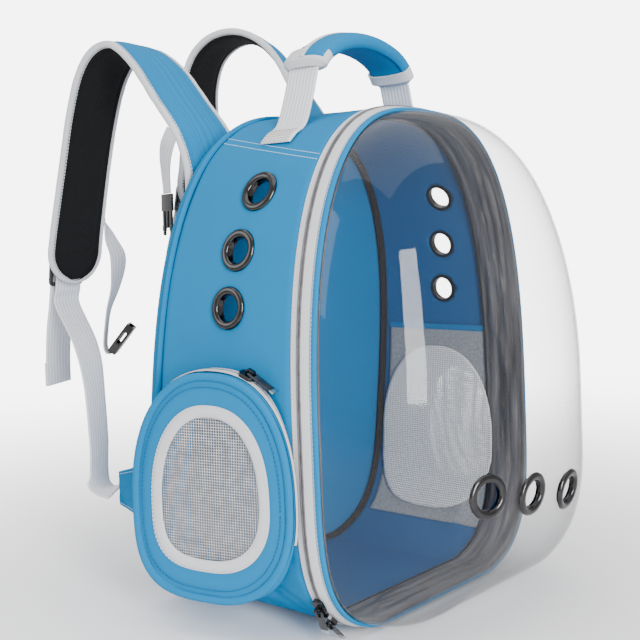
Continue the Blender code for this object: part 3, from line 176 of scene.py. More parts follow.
def metalMaterial(name, colour, roughness):
    made, tree, shader = startMaterial(name, roughness, 1.0)
    smear = spread(tree, grain(tree, 220.0, 4.0), 0.3, 0.7)
    setInputs(tree, shader, {"Base Color": mixColour(tree, smear, [c * 0.75 for c in colour], colour),
                             "Roughness": spread(tree, smear, 0.0, 1.0, roughness, roughness * 1.7)})
    return made


clearValues = {"colour": (0.06, 0.062, 0.068), "haze": 0.05, "edgeHaze": 0.75, "ior": 2.6, "blend": 0.25,
               "power": 1.8, "roughness": (0.03, 0.06), "bump": 0.05, "depth": 0.002}


def clearMaterial(name, values):
    # Clear soft plastic: each face is nearly open, and thicker to the eye at a grazing angle.
    made, tree, shader = startMaterial(name, 0.05)
    facing = addNode(tree, "ShaderNodeLayerWeight", {"Blend": values["blend"]}).outputs["Facing"]
    rim = maths(tree, 'POWER', facing, values["power"])
    smear = spread(tree, grain(tree, 9.0, 2.0), 0.3, 0.8)
    setInputs(tree, shader, {"Base Color": (*values["colour"], 1), "IOR": values["ior"],
                             "Alpha": spread(tree, rim, 0.0, 1.0, values["haze"], values["edgeHaze"]),
                             "Roughness": spread(tree, smear, 0.0, 1.0, *values["roughness"])})
    addBump(tree, shader, grain(tree, 16.0, 1.0), values["bump"], values["depth"])
    return made


filmValues = {"colour": (0.02, 0.018, 0.02), "light": (0.15, 0.142, 0.15), "streaks": (9.0, 160.0, 1.0),
              "roughness": 0.42, "bump": 0.8, "depth": 0.0025}


def filmMaterial(name, values):
    # Wrinkled dark band: streaks that run with the edge.
    made, tree, shader = startMaterial(name, values["roughness"])
    uv = addNode(tree, "ShaderNodeUVMap", uv_map="UVMap").outputs[0]
    stretched = addNode(tree, "ShaderNodeMapping", {"Vector": uv, "Scale": values["streaks"]}).outputs[0]
    streaks = addNode(tree, "ShaderNodeTexNoise", {"Vector": stretched, "Scale": 1.0, "Detail": 5.0}).outputs["Fac"]
    mixed = mixColour(tree, spread(tree, streaks, 0.35, 0.7), values["colour"], values["light"])
    setInputs(tree, shader, {"Base Color": mixed})
    addBump(tree, shader, streaks, values["bump"], values["depth"])
    return made


blue = (0.0, 0.19, 0.415)
blueShade = (0.0, 0.125, 0.31)
clothTable = {  # name, colour, shade between threads, weave, bump, ribbed, fuzz
    "wall": ("blueOxford", blue, blueShade, (0.0011, 0.0011), 0.22),
    # painted shade: the inner cloth is a darker blue than the wall, for faces inside the bag
    "inner": ("shadedBlueLining", (0.0, 0.15, 0.37), (0.0, 0.085, 0.24), (0.0009, 0.0009), 0.15),
    # painted shade: the lining is darker still, for the shaded inside of the side wall
    "lining": ("shadedLining", (0.0, 0.09, 0.25), (0.0, 0.06, 0.19), (0.0009, 0.0009), 0.15),
    "ribbedBlue": ("blueRibbed", blue, blueShade, (0.0012, 0.003), 0.5, True),
    "tape": ("zipTape", (0.6, 0.61, 0.63), (0.38, 0.385, 0.4), (0.001, 0.0014), 0.3, True),
    "webbing": ("paleWebbing", (0.8, 0.81, 0.85), (0.43, 0.435, 0.48), (0.0016, 0.0036), 0.7, True),
    "binding": ("paleBinding", (0.7, 0.705, 0.73), (0.46, 0.465, 0.49), (0.0015, 0.0015), 0.5, False, 0.2),
    "thread": ("paleThread", (0.42, 0.64, 0.8), (0.3, 0.48, 0.64), (0.0006, 0.0006), 0.2),
    "tanThread": ("tanThread", (0.42, 0.33, 0.25), (0.26, 0.2, 0.15), (0.0006, 0.0006), 0.2),
    "seamThread": ("seamThread", (0.0, 0.11, 0.27), (0.0, 0.07, 0.2), (0.0006, 0.0006), 0.2),
    "whiteThread": ("whiteThread", (0.8, 0.8, 0.82), (0.6, 0.6, 0.64), (0.0006, 0.0006), 0.2),
    "black": ("blackBinding", (0.012, 0.012, 0.015), (0.005, 0.005, 0.006), (0.0012, 0.0012), 0.4),
    "airMesh": ("blackAirMesh", (0.008, 0.008, 0.009), (0.001, 0.001, 0.001), (0.003, 0.0026), 1.0),
}
mats = {key: clothMaterial(*row) for key, row in clothTable.items()}
mats.update({
    # painted light: the window net's threads are near white so the backlit window reads bright
    "windowNet": netMaterial("windowNet", (0.9, 0.9, 0.91), 0.0042, 0.42),
    "net": netMaterial("fineNet", (0.36, 0.375, 0.4), 0.0024, 0.5),
    # painted shade: a darker copy of the fine net, used on the left side
    "netShade": netMaterial("netShade", (0.08, 0.11, 0.15), 0.0024, 0.36),
    "netThread": plasticMaterial("netThread", (0.36, 0.37, 0.39), 0.55),
    "metal": metalMaterial("blackNickel", (0.062, 0.06, 0.062), 0.14),
    "silver": metalMaterial("silverTip", (0.62, 0.6, 0.58), 0.22),
    "plastic": plasticMaterial("blackPlastic", (0.01, 0.01, 0.011), 0.28, 0.3),
    "coil": plasticMaterial("zipCoil", (0.085, 0.08, 0.088), 0.4),
    "clear": clearMaterial("clearBubble", clearValues),
    "film": filmMaterial("darkFilm", filmValues),
})
print("materials made:", len(mats))


def rough(place):
    return noise.noise(Vector(place))


def signedPower(value, power):
    return math.copysign(abs(value) ** power, value)


def smoothStep(t):
    t = min(max(t, 0.0), 1.0)
    return t * t * (3 - 2 * t)


def finishPiece(name, bm, material, node, slotName, body=mainBody, smooth=35):
    mesh = bpy.data.meshes.new(name)
    bm.to_mesh(mesh)
    bm.free()
    mesh.shade_smooth()
    mesh.set_sharp_from_angle(angle=math.radians(smooth))
    for one in [material] if isinstance(material, str) else material:
        mesh.materials.append(mats[one])
    piece = bpy.data.objects.new(name, mesh)
    bpy.context.scene.collection.objects.link(piece)
    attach(piece, body)
    if node:
        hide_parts(node)
    return piece


def gridMesh(uSteps, vSteps, place, size, closed=False, centre=None, capped=False):
    # A grid whose points are carried to place(u, v); UVs are in metres.
    bm = bmesh.new()
    uv = bm.loops.layers.uv.new("UVMap")
    bmesh.ops.create_grid(bm, x_segments=uSteps, y_segments=vSteps, size=0.5, calc_uvs=True)
    for face in bm.faces:
        for loop in face.loops:
            spot = loop.vert.co
            loop[uv].uv = ((spot.x + 0.5) * size[0], (spot.y + 0.5) * size[1])
    for vert in bm.verts:
        vert.co = place(vert.co.x + 0.5, vert.co.y + 0.5)
    if closed:
        bmesh.ops.remove_doubles(bm, verts=bm.verts, dist=0.00002)
    if capped:
        rims = [edge for edge in bm.edges if edge.is_boundary]
        bmesh.ops.holes_fill(bm, edges=rims, sides=0)
    if closed:
        bmesh.ops.recalc_face_normals(bm, faces=bm.faces)
    if centre is not None:
        lean = sum((face.calc_center_median() - centre).dot(face.normal) * face.calc_area() for face in bm.faces)
        if lean < 0:
            bmesh.ops.reverse_faces(bm, faces=bm.faces)
    return bm


def addThickness(piece, thickness, offset=0.0):
    made = piece.modifiers.new("thickness", 'SOLIDIFY')
    made.thickness = thickness
    made.offset = offset
    made.use_even_offset = True
    return piece


def addRound(piece, width, angle=50):
    made = piece.modifiers.new("round", 'BEVEL')
    made.width = width
    made.segments = 2
    made.angle_limit = math.radians(angle)
    made.harden_normals = False
    return piece


def cutPiece(piece, cutters, smooth):
    # Cuts closed tool meshes out of the piece, one after the other, and applies the result.
    tools = []
    for bm in cutters:
        mesh = bpy.data.meshes.new("tool")
        bm.to_mesh(mesh)
        bm.free()
        tool = bpy.data.objects.new("tool", mesh)
        bpy.context.scene.collection.objects.link(tool)
        tools.append(tool)
        made = piece.modifiers.new("cut", 'BOOLEAN')
        made.operation = 'DIFFERENCE'
        made.solver = 'EXACT'
        made.object = tool
    graph = bpy.context.evaluated_depsgraph_get()
    baked = bpy.data.meshes.new_from_object(piece.evaluated_get(graph))
    piece.modifiers.clear()
    piece.data = baked
    for tool in tools:
        bpy.data.objects.remove(tool)
    if smooth:
        piece.data.shade_smooth()
        piece.data.set_sharp_from_angle(angle=math.radians(smooth))


def framed(origin, along, through):
    # Local X along, local Z through, local Y across.
    zAxis = through.normalized()
    xAxis = (along - zAxis * along.dot(zAxis)).normalized()
    made = Matrix((xAxis, zAxis.cross(xAxis), zAxis)).transposed().to_4x4()
    made.translation = origin
    return made


stitchValues = {"length": 0.0023, "width": 0.00055, "sunk": 0.2, "flat": 0.8}


def addStitches(name, runs, material, slotName="blue_cloth", pitch=0.0034, values=stitchValues):
    # Each run is a list of (point, outward); one small block per stitch.
    width = values["width"]
    shape = Matrix.Diagonal((values["length"], width, width * values["flat"], 1))
    bm = bmesh.new()
    for run in runs:
        gone = 0.0
        wanted = pitch / 2
        for (a, outA), (b, outB) in zip(run, run[1:]):
            step = (b - a).length
            while step > 1e-9 and wanted <= gone + step:
                t = (wanted - gone) / step
                outward = outA.lerp(outB, t)
                matrix = framed(a.lerp(b, t) + outward.normalized() * width * values["sunk"], b - a, outward)
                bmesh.ops.create_cube(bm, size=1.0, matrix=matrix @ shape)
                wanted += pitch
            gone += step
    return finishPiece(name, bm, material, None, slotName)


def declareCut(piece):
    # Gives the piece back as it is; nothing is cut or measured here.
    return piece


def catmull(points, steps):
    # Even samples of a smooth curve through the points; a point may carry extra columns.
    values = [list(point) for point in points]
    first = [2 * a - b for a, b in zip(values[0], values[1])]
    last = [2 * a - b for a, b in zip(values[-1], values[-2])]
    padded = [first] + values + [last]
    dense = []
    for i in range(1, len(padded) - 2):
        four = padded[i - 1:i + 3]
        for k in range(24):
            t = k / 24
            dense.append([0.5 * (2 * b + (c - a) * t + (2 * a - 5 * b + 4 * c - d) * t * t
                                 + (3 * b - a - 3 * c + d) * t ** 3) for a, b, c, d in zip(*four)])
    dense.append(values[-1])
    lengths = [0.0]
    for a, b in zip(dense, dense[1:]):
        lengths.append(lengths[-1] + (Vector(b[:3]) - Vector(a[:3])).length)
    samples = []
    k = 0
    for step in range(steps + 1):
        want = lengths[-1] * step / steps
        while k < len(lengths) - 2 and lengths[k + 1] < want:
            k += 1
        t = min(max((want - lengths[k]) / max(lengths[k + 1] - lengths[k], 1e-9), 0.0), 1.0)
        samples.append([a + (b - a) * t for a, b in zip(dense[k], dense[k + 1])])
    return samples, lengths[-1]


def ribbonFrames(samples):
    # For each sample: place, along, across, through.
    frames = []
    for i, sample in enumerate(samples):
        ahead = Vector(samples[min(i + 1, len(samples) - 1)][:3])
        behind = Vector(samples[max(i - 1, 0)][:3])
        along = (ahead - behind).normalized()
        turn = math.radians(sample[3])
        across = Vector((math.cos(turn), math.sin(turn), 0))
        across = (across - along * across.dot(along)).normalized()
        frames.append((Vector(sample[:3]), along, across, along.cross(across)))
    return frames


def frameAt(frames, share):
    position = min(max(share, 0.0), 1.0) * (len(frames) - 1)
    k = min(int(position), len(frames) - 2)
    return [a.lerp(b, position - k) for a, b in zip(frames[k], frames[k + 1])]


def pathLength(frames):
    return sum((b[0] - a[0]).length for a, b in zip(frames, frames[1:]))


def addRibbon(name, frames, values, node, steps=None):
    # Flat webbing with rounded selvedges; gives its length back.
    width, thickness = values["width"], values["thickness"]
    length = pathLength(frames)
    steps = steps or max(24, int(length / 0.004))

    def place(u, v):
        spot, _, across, through = frameAt(frames, u)
        return spot + across * (width * (v - 0.5))

    bm = gridMesh(steps, 8, place, (length, width))
    piece = finishPiece(name, bm, "webbing", node, "grey_webbing")
    addThickness(piece, thickness)
    addRound(piece, thickness * 0.3)
    return length


def acrossRun(spot, across, outward, width, high):
    # Stitches from edge to edge of a webbing.
    return [(spot + across * width * (k / 20 - 0.5) * 0.86 + outward * high, outward) for k in range(21)]


bodyValues = {
    "width": 0.32, "height": 0.42, "widest": 0.142, "topRound": 2.78, "bottomRound": 3.6, "flatten": 0.0045,
    "front": 0.076, "frontLean": 0.01, "back": 0.076, "backLean": 0.0345, "wall": 0.003, "liftHeight": 0.06,
    "foldDepth": 0.0035, "foldShare": 0.72, "foldHalf": 0.1, "foldHeight": 0.12, "samples": 2880,
}


def outlineTable(values):
    # Points round the body from the middle of the base, up the right side first, with their length so far.
    half = values["width"] / 2
    points = []
    for k in range(values["samples"] + 1):
        angle = math.radians(-90 + 360 * k / values["samples"])
        power = values["topRound"] if math.sin(angle) > 0 else values["bottomRound"]
        reach = values["height"] - values["widest"] if math.sin(angle) > 0 else values["widest"] + values["flatten"]
        x = half * signedPower(math.cos(angle), 2 / power)
        z = values["widest"] + reach * signedPower(math.sin(angle), 2 / power)
        points.append((x, max(z, 0.0)))
    lengths = [0.0]
    for a, b in zip(points, points[1:]):
        lengths.append(lengths[-1] + math.dist(a, b))
    return points, lengths


outlinePoints, outlineLengths = outlineTable(bodyValues)
outlineLength = outlineLengths[-1]


def outlineSpot(share):
    want = (share % 1.0) * outlineLength
    low, high = 0, len(outlineLengths) - 1
    while high - low > 1:
        middle = (low + high) // 2
        if outlineLengths[middle] <= want:
            low = middle
        else:
            high = middle
    t = (want - outlineLengths[low]) / max(outlineLengths[high] - outlineLengths[low], 1e-9)
    a, b = outlinePoints[low], outlinePoints[high]
    return a[0] + (b[0] - a[0]) * t, a[1] + (b[1] - a[1]) * t


def outlineTangent(share):
    ax, az = outlineSpot(share - 0.002)
    bx, bz = outlineSpot(share + 0.002)
    return Vector((bx - ax, 0, bz - az)).normalized()


def shareAtHeight(z, side):
    # The share of the outline where one side wall reaches this height.
    low, high = 0.05, 0.5
    for _ in range(30):
        middle = (low + high) / 2
        if outlineSpot(middle)[1] < z:
            low = middle
        else:
            high = middle
    return low if side > 0 else 1 - low


def frontY(z):
    return -bodyValues["front"] - bodyValues["frontLean"] * (0.5 - z / bodyValues["height"])


def backY(z):
    return bodyValues["back"] + bodyValues["backLean"] * (0.5 - z / bodyValues["height"])


outlineCache = {}


def onBody(share, out, depth, along):
    # out from the wall's outside, depth 0 at the back plane and 1 at the zip, along in +Y.
    key = round(share % 1.0, 7)
    if key not in outlineCache:
        tangent = outlineTangent(share)
        outlineCache[key] = (*outlineSpot(share), tangent.z, -tangent.x)
    x, z, nx, nz = outlineCache[key]
    if out > 0:
        out *= smoothStep(z / bodyValues["liftHeight"])
    y = backY(z) + (frontY(z) - backY(z)) * depth + along
    return Vector((x + nx * out, y, z + nz * out))


def outwardAt(share):
    tangent = outlineTangent(share)
    return Vector((tangent.z, 0, -tangent.x))


def ringPiece(name, profile, material, node, slotName, steps=360, change=None):
    # A closed section of (out, depth, along) carried round the body.
    count = len(profile)
    girth = sum(math.dist((a[0], a[2]), (b[0], b[2])) for a, b in zip(profile, profile[1:] + profile[:1]))

    def place(u, v):
        spot = profile[round(v * count) % count]
        return onBody(u, *(change(u, *spot) if change else spot))

    bm = gridMesh(steps, count, place, (outlineLength, girth), closed=True)
    return finishPiece(name, bm, material, node, slotName, smooth=50)


def roundSection(out, depth, along, halfOut, halfAlong, steps):
    turns = [2 * math.pi * k / steps for k in range(steps)]
    return [(out + halfOut * math.sin(turn), depth, along + halfAlong * math.cos(turn)) for turn in turns]


gap = 0.0004
zipValues = {
    "coilWidth": 0.0044, "coilProud": 0.0006, "pitch": 0.0016, "setback": 0.0004,
    "toothOut": 0.0007, "toothAlong": 0.12,
    "tapeBody": 0.005, "tapeDoor": 0.006, "tapeDoorDrop": 0.0022, "tapeThickness": 0.0014,
    "strip": 0.0055, "stripDrop": 0.0022,
}
wallFront = zipValues["coilWidth"] / 2 + gap + zipValues["tapeBody"] + gap
wallBack = 0.0042 / 2 + gap

wallValues = {"around": 360, "across": 44, "wrinkle": 0.0011, "crease": 0.0026, "seamDip": 0.0012,
              "seamWidth": 0.0035}


def wallShape(u, v):
    values = wallValues
    x, z = outlineSpot(u)
    across = max(0.0, 1 - abs(v - bodyValues["foldShare"]) / bodyValues["foldHalf"])
    height = min(max(z / bodyValues["foldHeight"], 0.0), 1.0)
    out = -bodyValues["foldDepth"] * smoothStep(across) * math.sin(math.pi * height) ** 2
    slow = rough((x * 9, v * 1.3, z * 9))
    quick = rough((x * 26 + 5, v * 3.5, z * 22))
    out += values["wrinkle"] * (slow + 0.35 * quick) * smoothStep(z / 0.05)
    low = smoothStep((0.1 - z) / 0.07) * smoothStep((v - 0.45) / 0.3) * smoothStep(z / 0.012)
    fold = abs(rough((x * 14 + 3, v * 4 + z * 30, z * 10 + 7)))
    out -= values["crease"] * low * max(0.0, 1 - 3.2 * fold)
    edge = min(v, 1 - v) * 0.155
    out -= values["seamDip"] * (1 - smoothStep(edge / values["seamWidth"]))
    return onBody(u, out, v, wallFront * v - wallBack * (1 - v))


def cylinderTool(matrix, radius, depth):
    bm = bmesh.new()
    bmesh.ops.create_cone(bm, cap_ends=True, segments=48, radius1=radius, radius2=radius, depth=depth,
                          matrix=matrix)
    return bm


eyeletValues = {
    "hole": 0.0106, "outer": 0.0172, "rise": 0.0026, "backOuter": 0.0138, "barrel": 0.001, "steps": 56,
    "side": (("top", 0.582, 0.833), ("middle", 0.528, 0.724), ("low", 0.505, 0.617)),
    "bubble": (("left", -0.487, 0.285), ("centre", -0.184, 0.27), ("right", 0.201, 0.249)),
}


def eyeletMesh(matrix, wall, values=eyeletValues):
    # A rolled front flange, a barrel through the wall, and a flat back flange, spun about local Z.
    hole, outer = values["hole"], values["outer"]
    middle, half = (hole + outer) / 2, (outer - hole) / 2
    turns = [math.pi * k / 8 for k in range(9)]
    profile = [(middle - half * math.cos(t), 0.0004 + values["rise"] * math.sin(t) ** 0.85) for t in turns]
    barrel, backOuter = hole + values["barrel"], values["backOuter"]
    profile += [(outer - 0.0008, 0.0001), (barrel, 0.0001), (barrel, -wall - 0.0006), (backOuter, -wall - 0.0006),
                (backOuter, -wall - 0.0014), (hole + 0.0004, -wall - 0.002), (hole, -wall - 0.0012)]
    bm = bmesh.new()
    verts = [bm.verts.new((radius, 0, height)) for radius, height in profile]
    edges = [bm.edges.new((a, b)) for a, b in zip(verts, verts[1:] + verts[:1])]
    bmesh.ops.spin(bm, geom=verts + edges, cent=(0, 0, 0), axis=(0, 0, 1), angle=2 * math.pi, steps=values["steps"],
                   use_merge=True, use_duplicate=False)
    bmesh.ops.remove_doubles(bm, verts=bm.verts, dist=0.00001)
    bmesh.ops.recalc_face_normals(bm, faces=bm.faces)
    bmesh.ops.transform(bm, matrix=matrix, verts=bm.verts)
    return bm


wallTools, liningTools = [], []
for name, depth, height in eyeletValues["side"]:
    for side, label in sides:
        share = shareAtHeight(bodyValues["height"] * height, side)
        matrix = framed(onBody(share, 0, depth, 0), upright, outwardAt(share))
        for tools, radius in ((wallTools, eyeletValues["hole"] + eyeletValues["barrel"]),
                              (liningTools, eyeletValues["backOuter"])):
            tools.append(cylinderTool(matrix, radius + gap, 0.03))
        finishPiece("eyelet" + name.title() + label.title(), eyeletMesh(matrix, bodyValues["wall"]), "metal",
                    "eyelet_" + name + "_" + label, "dark_metal", smooth=50)
print("side eyelets made")

pocketValues = {
    "centreY": -0.0017, "widest": 0.108, "halfWidth": 0.0736, "rise": 0.1027, "fall": 0.0783, "frontOut": 0.006,
    "backOut": 0.0365, "round": (2.42, 2.15, 3.3, 2.25), "cloth": 0.0018, "flare": 0.007, "flareAt": 320.0,
    "flareFull": 50.0, "flareEnd": 105.0, "bulge": 0.001, "windowSide": 0.0262,
    "windowEnd": 0.0315, "trim": 0.0096, "tapeFrom": -15.0, "tapeTo": 145.0,
    "tapeShares": (0.08, 0.66), "netPitch": 0.0022, "netThread": 0.00027, "wallWindow": 0.0235,
}


class PocketPlane:
    def __init__(self, side, values=pocketValues):
        self.side = side
        self.lean = math.asin((values["backOut"] - values["frontOut"]) / (2 * values["halfWidth"]))
        self.along = Vector((side * math.sin(self.lean), math.cos(self.lean), 0))
        self.outward = Vector((side * math.cos(self.lean), -math.sin(self.lean), 0))
        middle = bodyValues["width"] / 2 + (values["backOut"] + values["frontOut"]) / 2
        self.origin = Vector((side * middle, values["centreY"], values["widest"]))

    def place(self, a, z, height=0.0):
        return self.origin + self.along * a + upright * z + self.outward * height


def eggPoint(degrees, sideInset, endInset, values=pocketValues):
    # 0 is the front edge, 90 the top, 180 the back edge, 270 the bottom.
    degrees %= 360
    angle = math.radians(degrees)
    power = values["round"][int(degrees // 90) % 4]
    across = -(values["halfWidth"] - sideInset) * signedPower(math.cos(angle), 2 / power)
    reach = values["rise"] if math.sin(angle) > 0 else values["fall"]
    return across, (reach - endInset) * signedPower(math.sin(angle), 2 / power)


eggTurns = [eggPoint(k / 2, 0.0, 0.0) for k in range(721)]
eggLengths = [0.0]
for a, b in zip(eggTurns, eggTurns[1:]):
    eggLengths.append(eggLengths[-1] + math.dist(a, b))
eggGirth = eggLengths[-1]


def eggTurn(share):
    # The angle at an even share of the way round the face's edge.
    want = (share % 1.0) * eggGirth
    k = max(i for i in range(0, 721, 16) if eggLengths[i] <= want)
    while k < 719 and eggLengths[k + 1] <= want:
        k += 1
    return (k + (want - eggLengths[k]) / max(eggLengths[k + 1] - eggLengths[k], 1e-9)) / 2


def pocketWallLine(plane, degrees, inset, values=pocketValues):
    top = plane.place(*eggPoint(degrees, inset, inset), -values["cloth"] - gap)
    apart = abs((degrees - values["flareAt"] + 180) % 360 - 180)
    flare = values["flare"] * smoothStep((values["flareEnd"] - apart) / (values["flareEnd"] - values["flareFull"]))
    start = plane.place(*eggPoint(degrees, flare + inset, flare + inset))
    share = shareAtHeight(start.z, plane.side)
    foot = Vector((outlineSpot(share)[0] + plane.side * 0.0006, start.y, start.z))
    swell = inset - values["bulge"]
    line = plane.place(*eggPoint(degrees, swell, swell))
    return top, Vector(((top.x + foot.x) / 2, line.y, line.z)), foot


def onPocketWall(plane, degrees, share, inset=0.0, out=0.0):
    # A smooth line from the face's edge (0) to the body (1), pushed out from the pocket's middle.
    top, middle, foot = pocketWallLine(plane, degrees, inset)
    a, b = top.lerp(middle, share), middle.lerp(foot, share)
    bent = (1 - share) ** 2 * top + 2 * share * (1 - share) * (middle * 2 - (top + foot) / 2) + share ** 2 * foot
    return a.lerp(b, share) * 0.5 + bent * 0.5 + out * wallOut(plane, degrees)


def wallOut(plane, degrees):
    across, up = eggPoint(degrees, 0.0, 0.0)
    nearA, nearZ = eggPoint(degrees - 2, 0.0, 0.0)
    farA, farZ = eggPoint(degrees + 2, 0.0, 0.0)
    outward = plane.along * (farZ - nearZ) * -1 + upright * (farA - nearA)
    if outward.dot(plane.along * across + upright * up) < 0:
        outward = -outward
    return outward.normalized()


def eggBand(plane, levels, name, material, node, slotName, wobble=0.0):
    # A closed section of (side inset, end inset, height) carried round the face.
    count = len(levels)
    girth = sum(math.dist(a, b) for a, b in zip(levels, levels[1:] + levels[:1]))

    def place(u, v):
        sideInset, endInset, height = levels[round(v * count) % count]
        degrees = eggTurn(u)
        across, up = eggPoint(degrees, sideInset, endInset)
        lift = wobble * rough((across * 30, up * 30, sideInset * 90 + plane.side))
        return plane.place(across, up, height + lift)

    bm = gridMesh(200, count, place, (eggGirth, girth), closed=True)
    return finishPiece(name, bm, material, node, slotName, smooth=50)


def roundLevels(inset, endInset, height, halfAcross, halfHigh, steps):
    turns = [2 * math.pi * k / steps for k in range(steps)]
    return [(inset + halfAcross * math.cos(turn), endInset + halfAcross * math.cos(turn),
             height + halfHigh * math.sin(turn)) for turn in turns]


def eggTool(plane, inset):
    def place(u, v):
        point = plane.place(*eggPoint(360 * u, inset, inset))
        return Vector((plane.side * (0.12 + 0.08 * v), point.y, point.z))

    return gridMesh(96, 1, place, (1, 1), closed=True, capped=True)


def insideEgg(a, z, sideInset, endInset):
    half = pocketValues["halfWidth"] - sideInset
    reach = (pocketValues["rise"] if z > 0 else pocketValues["fall"]) - endInset
    power = pocketValues["round"][(0 if a < 0 else 1) if z > 0 else (3 if a < 0 else 2)]
    return abs(a / half) ** power + abs(z / reach) ** power < 1


def pocketNet(plane, label, values=pocketValues):
    # Real threads: each cell of a grid is inset, and its middle is taken out.
    overlap = 0.003
    sideInset, endInset = values["windowSide"] - overlap, values["windowEnd"] - overlap
    pitch = values["netPitch"]
    wide, high = 2 * values["halfWidth"], values["rise"] + values["fall"]
    columns, rows = int(wide / pitch), int(high / pitch)
    bm = bmesh.new()
    bm.loops.layers.uv.new("UVMap")
    bmesh.ops.create_grid(bm, x_segments=columns, y_segments=rows, size=0.5, calc_uvs=True)
    for vert in bm.verts:
        vert.co = Vector((vert.co.x * wide, (vert.co.y + 0.5) * high - values["fall"], 0))
    outside = [face for face in bm.faces if not insideEgg(*face.calc_center_median().xy, sideInset, endInset)]
    bmesh.ops.delete(bm, geom=outside, context='FACES')
    cells = bm.faces[:]
    bmesh.ops.inset_individual(bm, faces=cells, thickness=values["netThread"], use_even_offset=True)
    bmesh.ops.delete(bm, geom=cells, context='FACES')
    for vert in bm.verts:
        sag = -0.0014 + 0.0012 * rough((vert.co.x * 25, vert.co.y * 22, plane.side))
        vert.co = plane.place(vert.co.x, vert.co.y, sag)
    bmesh.ops.recalc_face_normals(bm, faces=bm.faces)
    piece = finishPiece("pocketNet" + label.title(), bm, "netThread", "pocket_mesh_" + label, "net")
    return addThickness(piece, 0.0004)


def makePocket(side, label, values=pocketValues):
    plane = PocketPlane(side)
    cap = label.title()

    def wall(u, v):
        degrees = eggTurn(u)
        ripple = 0.0009 * rough((degrees / 18, v * 2.2, side * 4)) * math.sin(math.pi * v)
        return onPocketWall(plane, degrees, v, 0.0, ripple)

    bm = gridMesh(220, 14, wall, (eggGirth, 0.035), closed=True, centre=plane.place(0, 0))
    wallPiece = finishPiece("pocketWall" + cap, bm, "wall", "pocket_wall_" + label, "blue_cloth")
    declareCut(wallPiece)
    addThickness(wallPiece, values["cloth"], -1.0)
    rim = roundLevels(0.0026, 0.0026, -0.0002, 0.0033, 0.0024, 10)
    eggBand(plane, rim, "pocketRim" + cap, "wall", "pocket_rim_" + label, "blue_cloth")
    inner, outer = (values["windowSide"], values["windowEnd"]), (0.0058, 0.0058)
    faceLevels = []
    for k in range(9):
        t = k / 8
        puff = 0.0011 * math.sin(math.pi * t)
        insets = [start + (end - start) * t for start, end in zip(outer, inner)]
        faceLevels.append((*insets, puff - 0.0004))
    faceLevels += [(*insets, high - values["cloth"]) for *insets, high in reversed(faceLevels)]
    eggBand(plane, faceLevels, "pocketFace" + cap, "wall", "pocket_face_" + label, "blue_cloth", wobble=0.0005)
    middle = values["trim"] * 0.22
    insets = (values["windowSide"] - middle, values["windowEnd"] - middle)
    trim = roundLevels(*insets, 0.0007, values["trim"] / 2, 0.0013, 12)
    eggBand(plane, trim, "pocketTrim" + cap, "binding", "pocket_trim_" + label, "grey_tape", wobble=0.0003)
    pocketNet(plane, label)
    runs = []
    for inset, high in ((0.0098, 0.0011), (values["windowSide"] - 0.0062, 0.002)):
        ends = inset + (values["windowEnd"] - values["windowSide"]) * (0.15 if inset < 0.012 else 1.0)
        turns = [eggTurn(k / 240) for k in range(241)]
        runs.append([(plane.place(*eggPoint(turn, inset, ends), high), plane.outward) for turn in turns])
    addStitches("pocketStitches" + cap, runs[:1], "seamThread")
    addStitches("trimStitches" + cap, runs[1:], "whiteThread", slotName="grey_tape")

    def tapeTurn(u):
        return values["tapeFrom"] + (values["tapeTo"] - values["tapeFrom"]) * u

    def tape(u, v):
        low, high = values["tapeShares"]
        return onPocketWall(plane, tapeTurn(u) % 360, low + (high - low) * v, -0.0011)

    tapeLength = eggGirth * 160 / 360
    bm = gridMesh(120, 6, tape, (tapeLength, 0.017), centre=plane.place(0, 0))
    tapePiece = finishPiece("pocketTape" + cap, bm, "tape", "pocket_tape_" + label, "grey_tape")
    addRound(addThickness(tapePiece, 0.0009, -1.0), 0.0002)

    def coil(u, v):
        turn = 2 * math.pi * v
        wave = 0.82 + 0.18 * math.cos(2 * math.pi * u * tapeLength / 0.0016)
        return onPocketWall(plane, tapeTurn(u) % 360, 0.34 + 0.055 * math.cos(turn) * wave, -0.0011,
                            0.0004 + 0.001 * math.sin(turn) * wave)

    bm = gridMesh(480, 8, coil, (tapeLength, 0.006), closed=True, capped=True)
    finishPiece("pocketCoil" + cap, bm, "coil", None, "zip_coil")
    return plane


pocketPlanes = {}
for side, label in sides:
    pocketPlanes[label] = makePocket(side, label)
    for tools in (wallTools, liningTools):
        tools.append(eggTool(pocketPlanes[label], pocketValues["wallWindow"]))
print("pockets made")

bm = gridMesh(wallValues["around"], wallValues["across"], wallShape, (outlineLength, 0.155), closed=True,
              centre=Vector((0, 0, bodyValues["widest"])))
sideWall = finishPiece("sideWall", bm, "wall", "gusset", "blue_cloth")
addThickness(sideWall, bodyValues["wall"], -1.0)
cutPiece(sideWall, wallTools, 40)
print("side wall made")

seamValues = {"backZ": 0.3985, "frontZ": 0.377, "apart": 0.0042}
seamRuns = []
for side, label in sides:
    for k in (0, 1):
        run = []
        for v in [0.02 + 0.96 * step / 60 for step in range(61)]:
            z = seamValues["backZ"] + (seamValues["frontZ"] - seamValues["backZ"]) * v - k * seamValues["apart"]
            share = shareAtHeight(z, side)
            run.append((wallShape(share, v), outwardAt(share)))
        seamRuns.append(run)
addStitches("wallStitches", seamRuns, "thread")


def zipWave(u, out, depth, along):
    # Teeth: the coil's section swells and shrinks along its length.
    wave = 0.5 + 0.5 * math.cos(2 * math.pi * u * outlineLength / zipValues["pitch"])
    return out - zipValues["toothOut"] * wave, depth, along * (1 - zipValues["toothAlong"] * wave)


